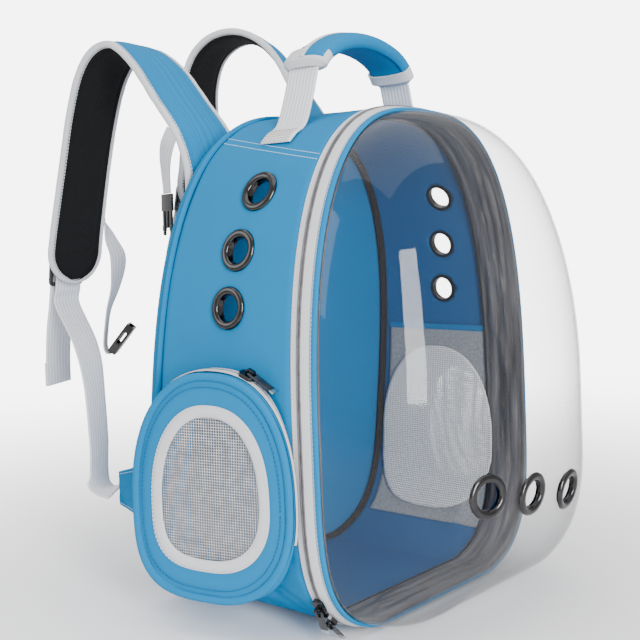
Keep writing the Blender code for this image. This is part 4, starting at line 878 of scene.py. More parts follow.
ringPiece("backPiping", roundSection(0.0002, 0.0, 0.0, 0.0027, 0.0021, 12), "wall", "back_piping", "blue_cloth")
coilHalf = zipValues["coilWidth"] / 2
setback = zipValues["setback"]
thick = zipValues["tapeThickness"]
tapeBack = coilHalf + gap + zipValues["tapeBody"]
section = [(-setback, coilHalf - 0.0006), (-setback + 0.0002, coilHalf + 0.002),
           (-setback + 0.0002, tapeBack - 0.001), (-setback, tapeBack), (-setback - thick, tapeBack),
           (-setback - thick, coilHalf - 0.0006)]
ringPiece("tapeBody", [(out, 1, along) for out, along in section], "tape", "tape_body", "grey_tape")
for name, sideways, node in (("coilBody", 1, "zip_coil"), ("coilDoor", -1, None)):
    section = roundSection(zipValues["coilProud"] - 0.0008, 1.0, sideways * 0.00115, 0.001, 0.00095, 8)
    ringPiece(name, section, "coil", node, "zip_coil", steps=2400, change=zipWave)
doorNear = -(coilHalf + gap)
doorFar = doorNear - zipValues["tapeDoor"]
drop = zipValues["tapeDoorDrop"]
section = [(-setback, doorNear + 0.0008), (-setback - drop * 0.35, doorNear - zipValues["tapeDoor"] * 0.5),
           (-setback - drop, doorFar), (-setback - thick - drop, doorFar), (-setback - thick, doorNear + 0.0008)]
ringPiece("tapeDoor", [(out, 1, along) for out, along in section], "tape", "tape_door", "grey_tape")
stripNear = doorFar - gap
stripFar = stripNear - zipValues["strip"]
stripOut = -setback - drop
stripMiddle = (stripNear + stripFar) / 2
section = roundSection(stripOut - 0.0016, 1.0, stripMiddle, 0.0018, zipValues["strip"] / 2, 12)
ringPiece("doorStrip", section, "wall", "door_strip", "blue_cloth")
for name, out, along, thread, slot in (("strip", stripOut, stripMiddle + 0.0015, "thread", "blue_cloth"),
                                       ("tape", -setback, tapeBack - 0.0016, "whiteThread", "grey_tape")):
    run = [(onBody(k / 720, out + 0.0003, 1.0, along), outwardAt(k / 720)) for k in range(721)]
    addStitches(name + "Stitches", [run], thread, slot)

bandValues = {"reach": 0.026, "out": 0.0068, "thickness": 0.001, "fold": 0.0022}


def bandShape(u, v):
    # Wrinkled band inside the front edge; its folds run with the edge.
    x, z = outlineSpot(u)
    along = stripFar + (bandValues["reach"] - stripFar) * v
    ridge = rough((x * 22, v * 7 + 2, z * 22)) + 0.5 * rough((x * 60, v * 14, z * 60))
    out = -bandValues["out"] - bandValues["fold"] * (0.5 + ridge) * math.sin(math.pi * min(max(v, 0.03), 0.97))
    ripple = 0.001 * rough((x * 50 + 9, 3, z * 50))
    return onBody(u, out, 1.0, along + ripple * smoothStep(v * 2 - 1))


bandLength = outlineLength * 0.97
bm = gridMesh(480, 18, bandShape, (bandLength, bandValues["reach"] - stripFar), closed=True,
              centre=Vector((0, frontY(0.2), 0.2)))
frontBand = finishPiece("frontBand", bm, "film", "front_band", "band_film")
declareCut(frontBand)
addThickness(frontBand, bandValues["thickness"], 0.0)
section = roundSection(-bandValues["out"] - 0.0006, 1.0, bandValues["reach"], 0.0011, 0.0011, 8)
ringPiece("bandEdge", section, "black", None, "black_cloth")
section = ((-0.0034, -0.0055), (-0.0034, -0.0005), (-0.009, -0.0005), (-0.0095, -0.0018), (-0.008, -0.0042),
           (-0.0052, -0.0055))
ringPiece("backBinding", [(out, 0, along) for out, along in section], "black", "back_binding", "black_cloth")
print("rings made")

panelValues = {"thickness": 0.008, "crown": 0.004, "centreZ": 0.162, "start": 0.0025, "channelX": 0.052,
               "channelZ": 0.215, "channelHalf": 0.004, "channelDepth": 0.0036}


def panelShape(u, v):
    # v runs from the middle of the inner face over the edge to the middle of the outer face.
    if v < 0.5:
        scale, out, thickness = v * 2, -gap, 0.0
    else:
        t = (v - 0.5) * 2
        scale = 1 - max(0.0, t - 0.1) / 0.9
        out = -gap - 0.002 * smoothStep((t - 0.05) / 0.08)
        thickness = panelValues["thickness"] * min(t / 0.1, 1.0)
    rim = onBody(u, out, 0.0, 0.0)
    x = rim.x * scale
    z = panelValues["centreZ"] + (rim.z - panelValues["centreZ"]) * scale
    if v >= 0.5:
        inside = min(1.0, (1 - scale) * 3.0)
        channel = math.exp(-((abs(x) - panelValues["channelX"]) / panelValues["channelHalf"]) ** 2)
        if abs(x) < panelValues["channelX"]:
            channel += math.exp(-((z - panelValues["channelZ"]) / panelValues["channelHalf"]) ** 2)
        thickness += inside * (panelValues["crown"] - panelValues["channelDepth"] * min(channel, 1.0))
        thickness += inside * 0.0006 * rough((x * 30, 5, z * 30))
    return Vector((x, backY(z) + panelValues["start"] + thickness, z))


bm = gridMesh(200, 150, panelShape, (outlineLength, 0.4), closed=True)
backPanel = finishPiece("backPanel", bm, ["wall", "inner"], "back_panel", "blue_cloth")
# the back panel's inside face takes the darker inner cloth, painted shade
for polygon in backPanel.data.polygons:
    if polygon.normal.y < -0.6:
        polygon.material_index = 1

# The lining: the wall's inner side, in a darker blue that is painted shade for the inside of the bag.


def liningShape(u, v):
    return wallShape(u, v) - outwardAt(u) * (bodyValues["wall"] + 0.0008)


bm = gridMesh(300, 24, liningShape, (outlineLength, 0.155), closed=True,
              centre=Vector((0, 0, bodyValues["widest"])))
lining = finishPiece("wallLining", bm, "lining", None, "blue_cloth")
addThickness(lining, 0.0005, 0.0)
cutPiece(lining, liningTools, 180)

windowNetValues = {"inset": 0.006, "shift": 0.01, "drop": 0.004, "out": 0.0096}


def addWindowNet(side, label, values=windowNetValues):
    # A coarser, paler net over the wall's opening, sewn to the inside of the wall; its near-white threads are painted
    # light for the backlit window.
    plane = pocketPlanes[label]

    def patch(u, v):
        radius = math.sqrt(v)
        across, up = eggPoint(360 * u, values["inset"], values["inset"])
        spot = plane.place(across * radius, up * radius)
        share = shareAtHeight(max(spot.z - values["drop"], 0.024), side)
        rim = onBody(share, -values["out"] - 0.0006 * noise.noise(spot * 30), 0.5, 0.0)
        return Vector((rim.x, spot.y + values["shift"], rim.z))

    bm = gridMesh(96, 12, patch, (1, 1), closed=True, centre=Vector((0, 0, 0.12)))
    uv = bm.loops.layers.uv["UVMap"]
    for face in bm.faces:
        for loop in face.loops:
            loop[uv].uv = (loop.vert.co.y, loop.vert.co.z)
    net = finishPiece("windowNet" + label.title(), bm, "windowNet", None, "net")
    addThickness(net, 0.0004)


netValues = {"bottom": 0.022, "top": 0.22, "margin": 0.065, "inset": 0.0062, "sag": 0.0011}
for side, label in sides:
    lowShare = shareAtHeight(netValues["bottom"], side)
    highShare = shareAtHeight(netValues["top"], side)

    def netShape(u, v, low=lowShare, high=highShare):
        share = low + (high - low) * u
        x, z = outlineSpot(share)
        depth = netValues["margin"] + (1 - 2 * netValues["margin"]) * v
        free = math.sin(math.pi * u) * math.sin(math.pi * v)
        sag = netValues["sag"] * rough((x * 16, depth * 4, z * 16)) * free
        across = max(0.0, 1 - abs(depth - bodyValues["foldShare"]) / bodyValues["foldHalf"])
        height = min(z / bodyValues["foldHeight"], 1.0)
        fold = bodyValues["foldDepth"] * smoothStep(across) * math.sin(math.pi * height) ** 2
        return onBody(share, -netValues["inset"] - fold + sag, depth, wallFront * depth - wallBack * (1 - depth))

    long = abs(highShare - lowShare) * outlineLength
    bm = gridMesh(60, 40, netShape, (long, 0.143), centre=Vector((0, 0, 0.12)))
    # the left net takes the darker copy, painted shade
    net = finishPiece("sideNet" + label.title(), bm, "net" if side > 0 else "netShade", "side_net_" + label, "net")
    addThickness(net, 0.0003)
    hem = [netShape(1.0, k / 60) for k in range(61)]
    if side > 0:
        addWindowNet(side, label)

    def hemShape(u, v, line=hem):
        spot = line[round(u * 60)]
        turn = 2 * math.pi * v
        return spot + Vector((-side * 0.0004 + 0.0007 * math.cos(turn), 0, 0.003 * math.sin(turn)))

    bm = gridMesh(60, 10, hemShape, (0.143, 0.014), closed=True, capped=True)
    # the hem takes the darker inner cloth, painted shade
    finishPiece("netHem" + label.title(), bm, "inner", None, "blue_cloth")
print("lining and nets made")

bubbleValues = {"depth": 0.1107, "round": 2.08, "centreZ": 0.155, "thickness": 0.001, "around": 200, "rows": 56}


def bubbleShape(u, v):
    angle = math.pi / 2 * min(v, 0.9985)
    forward = bubbleValues["depth"] * math.sin(angle) ** (2 / bubbleValues["round"])
    scale = math.cos(angle) ** (2 / bubbleValues["round"]) if v < 0.9985 else 0.0
    rim = onBody(u, stripOut - zipValues["stripDrop"], 1.0, 0.0)
    z = bubbleValues["centreZ"] + (rim.z - bubbleValues["centreZ"]) * scale
    soft = 0.0007 * rough((rim.x * scale * 14, 3, z * 14)) * min(1.0, v * 6)
    return Vector((rim.x * scale, frontY(z) + stripFar + 0.0012 - forward - soft, z))


bubbleMiddle = Vector((0, frontY(bubbleValues["centreZ"]), bubbleValues["centreZ"]))
bm = gridMesh(bubbleValues["around"], bubbleValues["rows"], bubbleShape, (outlineLength, 0.25), closed=True,
              centre=bubbleMiddle)
bubbleTree = BVHTree.FromBMesh(bm)
bubble = finishPiece("bubble", bm, "clear", "bubble", "clear_plastic", smooth=80)
addThickness(bubble, bubbleValues["thickness"], -1.0)
bubbleTools = []
for name, across, height in eyeletValues["bubble"]:
    origin = Vector((bodyValues["width"] / 2 * across, -0.4, bodyValues["height"] * height))
    hit, normal, _, _ = bubbleTree.ray_cast(origin, Vector((0, 1, 0)))
    if normal.y > 0:
        normal = -normal
    matrix = framed(hit, upright, normal)
    bubbleTools.append(cylinderTool(matrix, eyeletValues["hole"] + eyeletValues["barrel"] + 0.0003, 0.02))
    bm = eyeletMesh(matrix, bubbleValues["thickness"])
    finishPiece("bubbleEyelet" + name.title(), bm, "metal", "bubble_eyelet_" + name, "dark_metal", smooth=50)
cutPiece(bubble, bubbleTools, 60)
print("bubble made")

sliderValues = {"round": 0.00035}
pullValues = {"width": 0.0072, "thickness": 0.0015, "eye": 0.0042, "eyeEnd": 0.0051, "bar": 0.0016, "tip": 0.004,
              "ribs": 4, "ribPitch": 0.0024, "ribWidth": 0.001, "ribProud": 1.16}


def plainBox(size):
    bm = bmesh.new()
    bmesh.ops.create_cube(bm, size=1.0)
    bmesh.ops.scale(bm, vec=size, verts=bm.verts)
    return bm


def roundedBox(size, centre, matrix, bevel, segments=2):
    bm = plainBox(size)
    bmesh.ops.bevel(bm, geom=bm.edges[:], offset=bevel, segments=segments, profile=0.5, affect='EDGES', material=-1)
    bmesh.ops.translate(bm, vec=centre, verts=bm.verts)
    bmesh.ops.transform(bm, matrix=matrix, verts=bm.verts)
    return bm


def joinMeshes(meshes):
    joined = bmesh.new()
    for bm in meshes:
        mesh = bpy.data.meshes.new("part")
        bm.to_mesh(mesh)
        bm.free()
        joined.from_mesh(mesh)
        bpy.data.meshes.remove(mesh)
    return joined


def makeZipPull(body, sliderNode, name):
    # The hinge gives the pull's axis; the CAD plate's middle gives its direction.
    joint = next(j for j in frame["joints"] if j["child"] == body)
    hinge, axis = Vector(joint["pos_m"]), Vector(joint["axis"]).normalized()
    corners = [vert.co for vert in frame["nodes"][body].data.vertices]
    middle = sum(corners, Vector()) / len(corners)
    along = (middle - hinge - axis * (middle - hinge).dot(axis)).normalized()
    length = max((corner - hinge).dot(along) for corner in corners)
    pose = Matrix((along, axis, along.cross(axis))).transposed().to_4x4()
    pose.translation = hinge
    wide, thin, eyeEnd, tipLength = (pullValues[key] for key in ("width", "thickness", "eyeEnd", "tip"))
    plate = [roundedBox((pullValues["bar"], wide, thin), (0, 0, 0), pose, 0.0006)]
    rail = (wide - pullValues["eye"]) / 2
    for turn in (-1, 1):
        place = (eyeEnd / 2, turn * (wide - rail) / 2, 0)
        plate.append(roundedBox((eyeEnd + 0.0016, rail, thin), place, pose, 0.0004))
    size = (length - eyeEnd - tipLength + 0.001, wide, thin)
    plate.append(roundedBox(size, ((length + eyeEnd - tipLength) / 2, 0, 0), pose, 0.0005))
    for k in range(pullValues["ribs"]):
        rib = (pullValues["ribWidth"], wide * 0.72, thin * pullValues["ribProud"])
        plate.append(roundedBox(rib, (eyeEnd + 0.0035 + k * pullValues["ribPitch"], 0, 0), pose, 0.0003))
    finishPiece(name + "Pull", joinMeshes(plate), "plastic", body, "black_plastic", body=body, smooth=40)
    tip = roundedBox((tipLength, wide, thin * 1.06), (length - tipLength / 2, 0, 0), pose, 0.0005)
    finishPiece(name + "PullTip", tip, "silver", None, "dark_metal", body=body, smooth=40)
    # the slider keeps its own solid, with a metal look and rounded edges
    slider = frame["nodes"][sliderNode]
    slider.data.materials.clear()
    slider.data.materials.append(mats["metal"])
    addRound(slider, sliderValues["round"], angle=40)


for place, label in (("front", "upper"), ("front", "lower"), ("pocket", "left"), ("pocket", "right")):
    makeZipPull(place + "_pull_" + label, place + "_slider_" + label, place + label.title())
print("sliders and pulls made")

handleValues = {
    "y": -0.009, "width": 0.032, "thickness": 0.002, "seat": 0.0016, "feet": (0.925, 0.943, 0.962),
    "halfSpan": 0.072, "rise": 0.06, "gripHalfWidth": 0.0205, "gripHalfHeight": 0.0066, "gripFrom": 0.265,
    "gripTo": 0.735,
    "arch": ((-1.0, 0.167), (-0.861, 0.617), (-0.556, 0.867), (-0.153, 0.983), (0.25, 0.967), (0.625, 0.833),
             (0.847, 0.583), (0.972, 0.167)),
}


def makeHandle(values):
    feet = []
    for share in values["feet"]:
        at = shareAtHeight(bodyValues["height"] * share, -1)
        feet.append(onBody(at, 0, 0.5, 0) + outwardAt(at) * (values["seat"] + values["thickness"] / 2 - 0.0006))
    height = bodyValues["height"]
    route = [(foot.x, values["y"], foot.z, 90.0) for foot in feet]
    route += [(values["halfSpan"] * a, values["y"], height + values["rise"] * up, 90.0) for a, up in values["arch"]]
    route += [(-foot.x, values["y"], foot.z, 90.0) for foot in reversed(feet)]
    frames = ribbonFrames(catmull(route, 120)[0])
    length = addRibbon("handleWebbing", frames, values, "handle_webbing")
    first, last = values["gripFrom"], values["gripTo"]
    gripLength = length * (last - first)
    a, b = values["gripHalfWidth"], values["gripHalfHeight"]

    def section(angle, grow=0.0):
        wide, high = signedPower(math.cos(angle), 2 / 2.7), signedPower(math.sin(angle), 2 / 2.4)
        return (a + grow) * wide, (b + grow) * high

    def grip(u, v):
        spot, _, across, through = frameAt(frames, first + (last - first) * u)
        wide, high = section(2 * math.pi * v)
        pinch = 1 - 0.1 * (abs(2 * u - 1) ** 6)
        pinch += 0.02 * rough((u * 9, v * 5, 2))
        return spot + across * wide * pinch + through * high * pinch

    bm = gridMesh(70, 40, grip, (gripLength, 0.1), closed=True, capped=True)
    made = finishPiece("handleGrip", bm, "wall", "handle_grip", "blue_cloth", smooth=60)
    topSign = 1 if frameAt(frames, 0.5)[3].z > 0 else -1

    def flapPoint(u, angle, grow):
        spot, _, across, through = frameAt(frames, first + (last - first) * u)
        wide, high = section(angle, grow)
        return spot + across * wide * topSign + through * high * topSign

    def flap(u, v):
        # The upper flap laps over the grip's top as far as a little past the middle.
        angle = math.radians(-40 + 128 * v)
        return flapPoint(0.02 + 0.96 * u, math.pi - angle, 0.0012 + 0.0008 * v)

    bm = gridMesh(70, 20, flap, (gripLength, 0.05), centre=frameAt(frames, 0.5)[0] - upright * 0.02)
    flapPiece = finishPiece("gripFlap", bm, "wall", None, "blue_cloth")
    declareCut(flapPiece)
    addThickness(flapPiece, 0.0012)

    def lapEdge(u, v):
        turn = 2 * math.pi * v
        middle = math.pi - math.radians(88)
        near = flapPoint(0.015 + 0.97 * u, middle, 0.0022)
        far = flapPoint(0.015 + 0.97 * u, middle - 0.24, 0.0022)
        sideways = (far - near).normalized()
        outward = frameAt(frames, first + (last - first) * u)[3] * topSign
        return near + sideways * (0.0008 + 0.0032 * math.cos(turn)) + outward * (0.0012 * math.sin(turn))

    bm = gridMesh(90, 10, lapEdge, (gripLength, 0.014), closed=True, capped=True)
    finishPiece("gripBinding", bm, "binding", None, "grey_tape")
    for k, (start, end) in enumerate(((-0.022, 0.085), (1.022, 0.915))):
        def endBand(u, v, start=start, end=end):
            share = start + (end - start) * u
            spot, _, across, through = frameAt(frames, first + (last - first) * share)
            wide, high = section(2 * math.pi * v, 0.0022)
            closing = smoothStep(1 - u / 0.28)
            return spot + across * wide * (1 - 0.24 * closing) + through * high * (1 - 0.62 * closing)

        middle = frameAt(frames, first + (last - first) * (start + end) / 2)[0]
        bm = gridMesh(16, 48, endBand, (0.014, 0.1), closed=True, centre=middle)
        addThickness(finishPiece("gripEnd" + str(k), bm, "binding", None, "grey_tape"), 0.0016, -1.0)
    runs = []
    for share in [0.004 + 0.01 * k for k in range(6)]:
        for place in (share, 1 - share):
            spot, _, across, through = frameAt(frames, place)
            outward = through if through.x * spot.x > 0 else -through
            runs.append(acrossRun(spot, across, outward, values["width"], values["thickness"] * 0.52))
    addStitches("handleStitches", runs, "tanThread", pitch=0.0036, slotName="grey_webbing")


makeHandle(handleValues)
print("handle made")

strapValues = {
    "halfWidth": 0.0335, "thickness": 0.009, "binding": 0.004, "bindingHeight": 0.0056, "spread": 0.085,
    "reach": 0.2,
    "seamInset": 0.006, "seamHalf": 0.0025, "seamDip": 0.35, "lumps": 0.0007,
    "left": (
        (-0.965, 0.0, 0.838, 0.0), (-0.976, 0.0, 0.895, 0.0), (-0.988, 0.046, 0.964, -4.0),
        (-1.0, 0.172, 1.038, -3.0), (-1.0, 0.322, 1.119, 0.0), (-1.0, 0.477, 1.167, 5.0),
        (-1.0, 0.617, 1.16, 6.0), (-1.0, 0.722, 1.114, 6.0), (-1.0, 0.802, 1.029, 6.0),
        (-1.0, 0.867, 0.926, 6.0), (-1.0, 0.927, 0.821, 4.0), (-1.0, 0.972, 0.733, 2.0),
        (-1.0, 0.997, 0.645, 0.0),
    ),
    "right": (
        (0.965, 0.0, 0.838, 0.0), (0.965, 0.0, 0.895, 0.0), (0.941, 0.072, 1.01, 14.0),
        (0.941, 0.227, 1.129, 28.0), (0.941, 0.372, 1.205, 28.0), (0.941, 0.532, 1.243, 24.0),
        (0.941, 0.697, 1.245, 18.0), (0.941, 0.832, 1.21, 14.0), (0.941, 0.902, 1.143, 10.0),
        (0.941, 0.912, 1.06, 8.0), (0.941, 0.912, 0.964, 6.0), (0.941, 0.932, 0.893, 3.0),
        (0.941, 0.962, 0.819, 0.0),
    ),
}
lockValues = {"width": 0.04, "height": 0.03, "thickness": 0.0036, "bar": 0.004, "side": 0.0034, "offset": 0.0135,
              "rise": 0.012, "loop": 0.014, "loopClear": 0.0008}
lowerValues = {
    "width": 0.03, "thickness": 0.0018, "tail": 0.11, "tabHeight": 0.062, "tabReach": 0.052, "tabTip": 0.03,
    "tabZ": 0.093, "tabInset": 0.016, "tabThickness": 0.0028,
    "route": (
        (0.0, 0.0, 0.0, 62.0), (0.033, 0.126, -0.026, 34.0), (0.082, 0.225, -0.013, 20.0),
        (0.115, 0.253, 0.063, 20.0), (0.197, 0.288, 0.243, 20.0), (0.443, 0.449, 0.561, 18.0),
        (0.705, 0.66, 0.772, 10.0),
    ),
    "tailRoute": ((-0.03, 0.055, -0.2), (-0.06, 0.12, -0.45), (-0.1, 0.17, -0.75), (-0.13, 0.185, -1.0)),
}
chestValues = {
    "width": 0.018, "thickness": 0.0016,
    "left": (0.066, 0.138, ((0.3, 0.06, 0.0, 60.0), (0.56, 0.024, -0.154, 10.0), (0.56, -0.049, -0.292, -10.0),
                            (0.361, -0.04, -0.5, 20.0), (0.222, 0.03, -0.69, 38.0), (0.194, 0.07, -0.88, 40.0),
                            (0.194, 0.076, -0.96, 40.0), (0.27, 0.066, -1.0, 40.0), (0.42, 0.044, -1.006, 40.0))),
    "right": (0.088, 0.068, ((0.222, 0.078, 0.0, 120.0), (0.56, 0.13, -0.2, 105.0), (0.56, 0.2, -0.42, 90.0),
                             (0.45, 0.24, -0.65, 78.0), (0.36, 0.25, -0.9, 73.0), (0.35, 0.25, -1.0, 73.0))),
}


def panelY(z):
    return backY(z) + 0.0021 + gap + panelValues["thickness"] + panelValues["crown"]


def makeStrap(label, values=strapValues):
    cap = label.title()
    foot = panelY(bodyValues["height"] * values[label][0][2]) + values["thickness"] / 2 + gap
    route = [(values["spread"] * x, foot + values["reach"] * y, bodyValues["height"] * z, turn)
             for x, y, z, turn in values[label]]
    samples, length = catmull(route, 120)
    frames = ribbonFrames(samples)
    half = values["halfWidth"] - values["binding"] - gap
    padLength = length - values["binding"] - gap
    straight = padLength - half

    def sectionAt(u):
        # distance along, half width and lean of the edge: the last sixth of u is the round tip
        if u <= 0.84:
            return straight * u / 0.84, half, 0.0
        lean = (u - 0.84) / 0.16 * math.pi / 2
        return straight + half * math.sin(lean), half * max(math.cos(lean), 0.01), lean

    def pad(u, v):
        distance, width, _ = sectionAt(u)
        spot, _, across, through = frameAt(frames, distance / length)
        turn = 2 * math.pi * v
        wide = width * signedPower(math.cos(turn), 0.62)
        tall = values["thickness"] / 2 * signedPower(math.sin(turn), 0.72)
        seam = math.exp(-((abs(wide) - width + values["seamInset"]) / values["seamHalf"]) ** 2)
        tall *= 1 - values["seamDip"] * seam
        lumps = rough((distance * 40, wide * 40, 3 if math.sin(turn) > 0 else 8))
        tall += values["lumps"] * lumps * (1 - abs(math.cos(turn)))
        return spot + across * wide + through * tall

    bm = gridMesh(150, 48, pad, (padLength, 0.14), closed=True, capped=True)
    looks = ["ribbedBlue", "airMesh"]
    piece = finishPiece("strapPad" + cap, bm, looks, "strap_pad_" + label, "blue_cloth", smooth=60)
    outerSign = 1 if frameAt(frames, 0.9)[3].y > 0 else -1
    for polygon in piece.data.polygons:
        spot = polygon.center
        index = min(range(0, len(frames), 4), key=lambda k: (frames[k][0] - spot).length_squared)
        polygon.material_index = 0 if (spot - frames[index][0]).dot(frames[index][3]) * outerSign > 0 else 1

    # the binding: one tube round the pad's edge, down one side, round the tip and up the other
    edge = []
    steps = 110
    for side in (1, -1):
        line = []
        for k in range(steps + 1):
            distance, width, lean = sectionAt(k / steps)
            spot, along, across, through = frameAt(frames, distance / length)
            outward = across * (side * math.cos(lean)) + along * math.sin(lean)
            rim = spot + across * (side * width) + outward * (values["binding"] / 2 - 0.0004)
            line.append((rim, outward, through))
        edge += line if side == 1 else line[::-1]
    total = sum((b[0] - a[0]).length for a, b in zip(edge, edge[1:]))

    def binding(u, v):
        position = u * (len(edge) - 1)
        k = min(int(position), len(edge) - 2)
        spot, outward, through = (a.lerp(b, position - k) for a, b in zip(edge[k], edge[k + 1]))
        turn = 2 * math.pi * v
        swell = 1 + 0.1 * rough((u * 90, 2, 5))
        outer = values["binding"] * 0.62 * signedPower(math.cos(turn), 0.8) * swell - 0.0004
        high = values["bindingHeight"] * 0.56 * signedPower(math.sin(turn), 0.8) * swell
        return spot + outward * outer + through * high

    bm = gridMesh(360, 12, binding, (total, 0.016), closed=True, capped=True)
    finishPiece("strapBinding" + cap, bm, "binding", "strap_binding_" + label, "grey_tape", smooth=60)
    runs = []
    for sign in (1, -1):
        inward, high = values["binding"] * 0.45 + 0.0006, sign * (values["bindingHeight"] * 0.53)
        runs.append([(spot - outward * inward + through * high, through * sign)
                     for spot, outward, through in edge[3:-3]])
    addStitches("strapStitches" + cap, runs, "whiteThread", pitch=0.0032, slotName="grey_tape")
    return frames, length


def makeLock(frames, length, label, values=lockValues):
    spot, along, across, through = frameAt(frames, (length - values["rise"]) / length)
    outward = through if through.y > 0 else -through
    matrix = framed(spot + outward * values["offset"], outward.cross(along), outward)
    slotHeight = (values["height"] - 3 * values["bar"]) / 2
    bm = plainBox((values["width"], values["height"], values["thickness"]))
    corners = [edge for edge in bm.edges if abs(edge.verts[0].co.z - edge.verts[1].co.z) > 0.001]
    bmesh.ops.bevel(bm, geom=corners, offset=0.004, segments=4, profile=0.5, affect='EDGES', material=-1)
    bmesh.ops.transform(bm, matrix=matrix, verts=bm.verts)
    piece = finishPiece("adjuster" + label.title(), bm, "plastic", "adjuster_" + label, "black_plastic", smooth=40)
    tools = []
    for side in (-1, 1):
        tools.append(roundedBox((values["width"] - 2 * values["side"], slotHeight, values["thickness"] * 3),
                                (0, side * (slotHeight + values["bar"]) / 2, 0), matrix, 0.001))
    cutPiece(piece, tools, 0)
    addRound(piece, 0.0007, angle=40)
    return matrix, slotHeight


def turnPoints(matrix, centre, up, steps, extra=0):
    radius = math.hypot(lockValues["bar"] / 2, lockValues["thickness"] / 2) + gap + lowerValues["thickness"] / 2
    points = []
    for k in range(steps + 1 + extra):
        angle = math.pi * k / steps
        place = Vector((0, centre + up * radius * math.sin(angle), -radius * math.cos(angle)))
        points.append((*(matrix @ place), 0.0))
    return points, radius


def makeTab(side, label, values=lowerValues):
    z = values["tabZ"]
    root = panelY(z - values["tabHeight"] / 2) - panelValues["crown"] + gap
    x = side * (bodyValues["width"] / 2 - values["tabInset"])

    def tab(u, v):
        half = values["tabHeight"] / 2 + (values["tabTip"] / 2 - values["tabHeight"] / 2) * u
        soft = 0.0008 * rough((u * 3, v * 3, side))
        return Vector((x + soft, root - 0.002 + (values["tabReach"] + 0.002) * u, z - half + 2 * half * v))

    bm = gridMesh(24, 24, tab, (values["tabReach"], values["tabHeight"]))
    piece = finishPiece("cornerTab" + label.title(), bm, "wall", "corner_tab_" + label, "blue_cloth")
    declareCut(piece)
    addRound(addThickness(piece, values["tabThickness"]), 0.0008)
    runs = []
    outward = Vector((side, 0, 0))
    for share in (0.08, 0.92):
        runs.append([(tab(0.06 + 0.9 * k / 20, share) + outward * values["tabThickness"] / 2, outward)
                     for k in range(21)])
    addStitches("tabStitches" + label.title(), runs, "thread")
    return Vector((x, root + values["tabReach"] + gap * 3, z))


def makeLowerWebbing(start, turnSign, matrix, slotHeight, label, values=lowerValues):
    turn, radius = turnPoints(matrix, 0.0, 1, 8)
    lowBar = -(slotHeight + lockValues["bar"])
    behind = matrix @ Vector((0, lowBar - lockValues["bar"], -radius))
    below = matrix @ Vector((0, 2 * (lowBar - lockValues["bar"]), -radius))
    way = below - start
    route = [(start.x + way.x * x, start.y + way.y * y, start.z + way.z * z, turnSign * angle)
             for x, y, z, angle in values["route"]]
    upRoute, _ = catmull(route + [(*below, 0.0), (*behind, 0.0), turn[0]], 80)
    before = matrix @ Vector((0, lowBar - lockValues["bar"], radius * 1.2))
    long = values["tail"]
    tail = [(*(matrix @ Vector((long * x, lowBar + long * z, radius + long * y))), 0.0)
            for x, y, z in values["tailRoute"]]
    downRoute, _ = catmull([turn[-1], (*before, 0.0)] + tail, 40)
    frames = ribbonFrames(upRoute + turn[1:-1] + downRoute)
    addRibbon("lowerWebbing" + label.title(), frames, values, "lower_webbing_" + label, 200)
    # folded hem at the loose end
    tailEnd = ribbonFrames(downRoute)
    outward = tailEnd[-1][3] if tailEnd[-1][3].y > 0 else -tailEnd[-1][3]
    proud = outward * (values["thickness"] + 0.0002)
    hem = [(*(Vector(sample[:3]) + proud), sample[3]) for sample in downRoute[-9:]]
    addRibbon("tailHem" + label.title(), ribbonFrames(hem), values, None, 16)
    runs = []
    for index in (-8, -3):
        spot, _, across, _ = tailEnd[index]
        runs.append(acrossRun(spot, across, outward, values["width"], values["thickness"] * 1.72))
    addStitches("tailStitches" + label.title(), runs, "whiteThread", slotName="grey_webbing")


def makeLoop(frames, length, matrix, slotHeight, label):
    topBar = slotHeight + lockValues["bar"]
    turn, _ = turnPoints(matrix, topBar, -1, 8, 2)
    back, front = [], []
    for rise in (lockValues["loop"] * 1.6, lockValues["loop"]):
        spot, _, across, through = frameAt(frames, (length - lockValues["rise"] - topBar - rise) / length)
        outward = through if through.y > 0 else -through
        onPad = strapValues["thickness"] / 2 + lockValues["loopClear"] + lowerValues["thickness"] / 2
        angle = math.degrees(math.atan2(across.y, across.x))
        back.append((*(spot + outward * onPad), angle))
        front.append((*(spot + outward * (onPad + lowerValues["thickness"] + gap)), angle))
    down, _ = catmull(back + [turn[0]], 12)
    up, _ = catmull([turn[-1]] + front[::-1], 12)
    loop = ribbonFrames(down + turn[1:-1] + up)
    addRibbon("adjusterLoop" + label.title(), loop, lowerValues, "adjuster_loop_" + label, 60)


def makeChestWebbing(side, frames, length, label):
    fromEnd, dropping, table = chestValues[label]
    spot, _, across, _ = frameAt(frames, (length - fromEnd) / length)
    edge = spot - across * (side * strapValues["halfWidth"])
    width = chestValues["width"]
    route = [(edge.x - side * (width * out + gap), edge.y + dropping * back, edge.z + dropping * down, turn)
             for out, back, down, turn in table]
    path = ribbonFrames(catmull(route, 16)[0])
    fine = ribbonFrames(catmull(route, 80)[0])
    addRibbon("chestWebbing" + label.title(), fine, chestValues, "chest_webbing_" + label)
    return path[-1][0], path[-1][2]


buckleValues = {"width": 0.026, "length": 0.034, "thickness": 0.0085, "wall": 0.0018, "socket": 0.027, "prong": 0.026,
                "prongWidth": 0.0045, "guide": 0.004, "base": 0.019, "left": (142.0, 0.0016), "right": (0.0, 0.0004)}


def buckleMatrix(spot, across, label):
    lean, away = buckleValues[label]
    across = Vector((across.x, across.y, 0)).normalized()
    sideways = upright.cross(across)
    if sideways.y > 0:
        sideways = -sideways
    angle = math.radians(lean)
    direction = sideways * math.sin(angle) - upright * math.cos(angle)
    return framed(spot + direction * away, across, across.cross(direction))


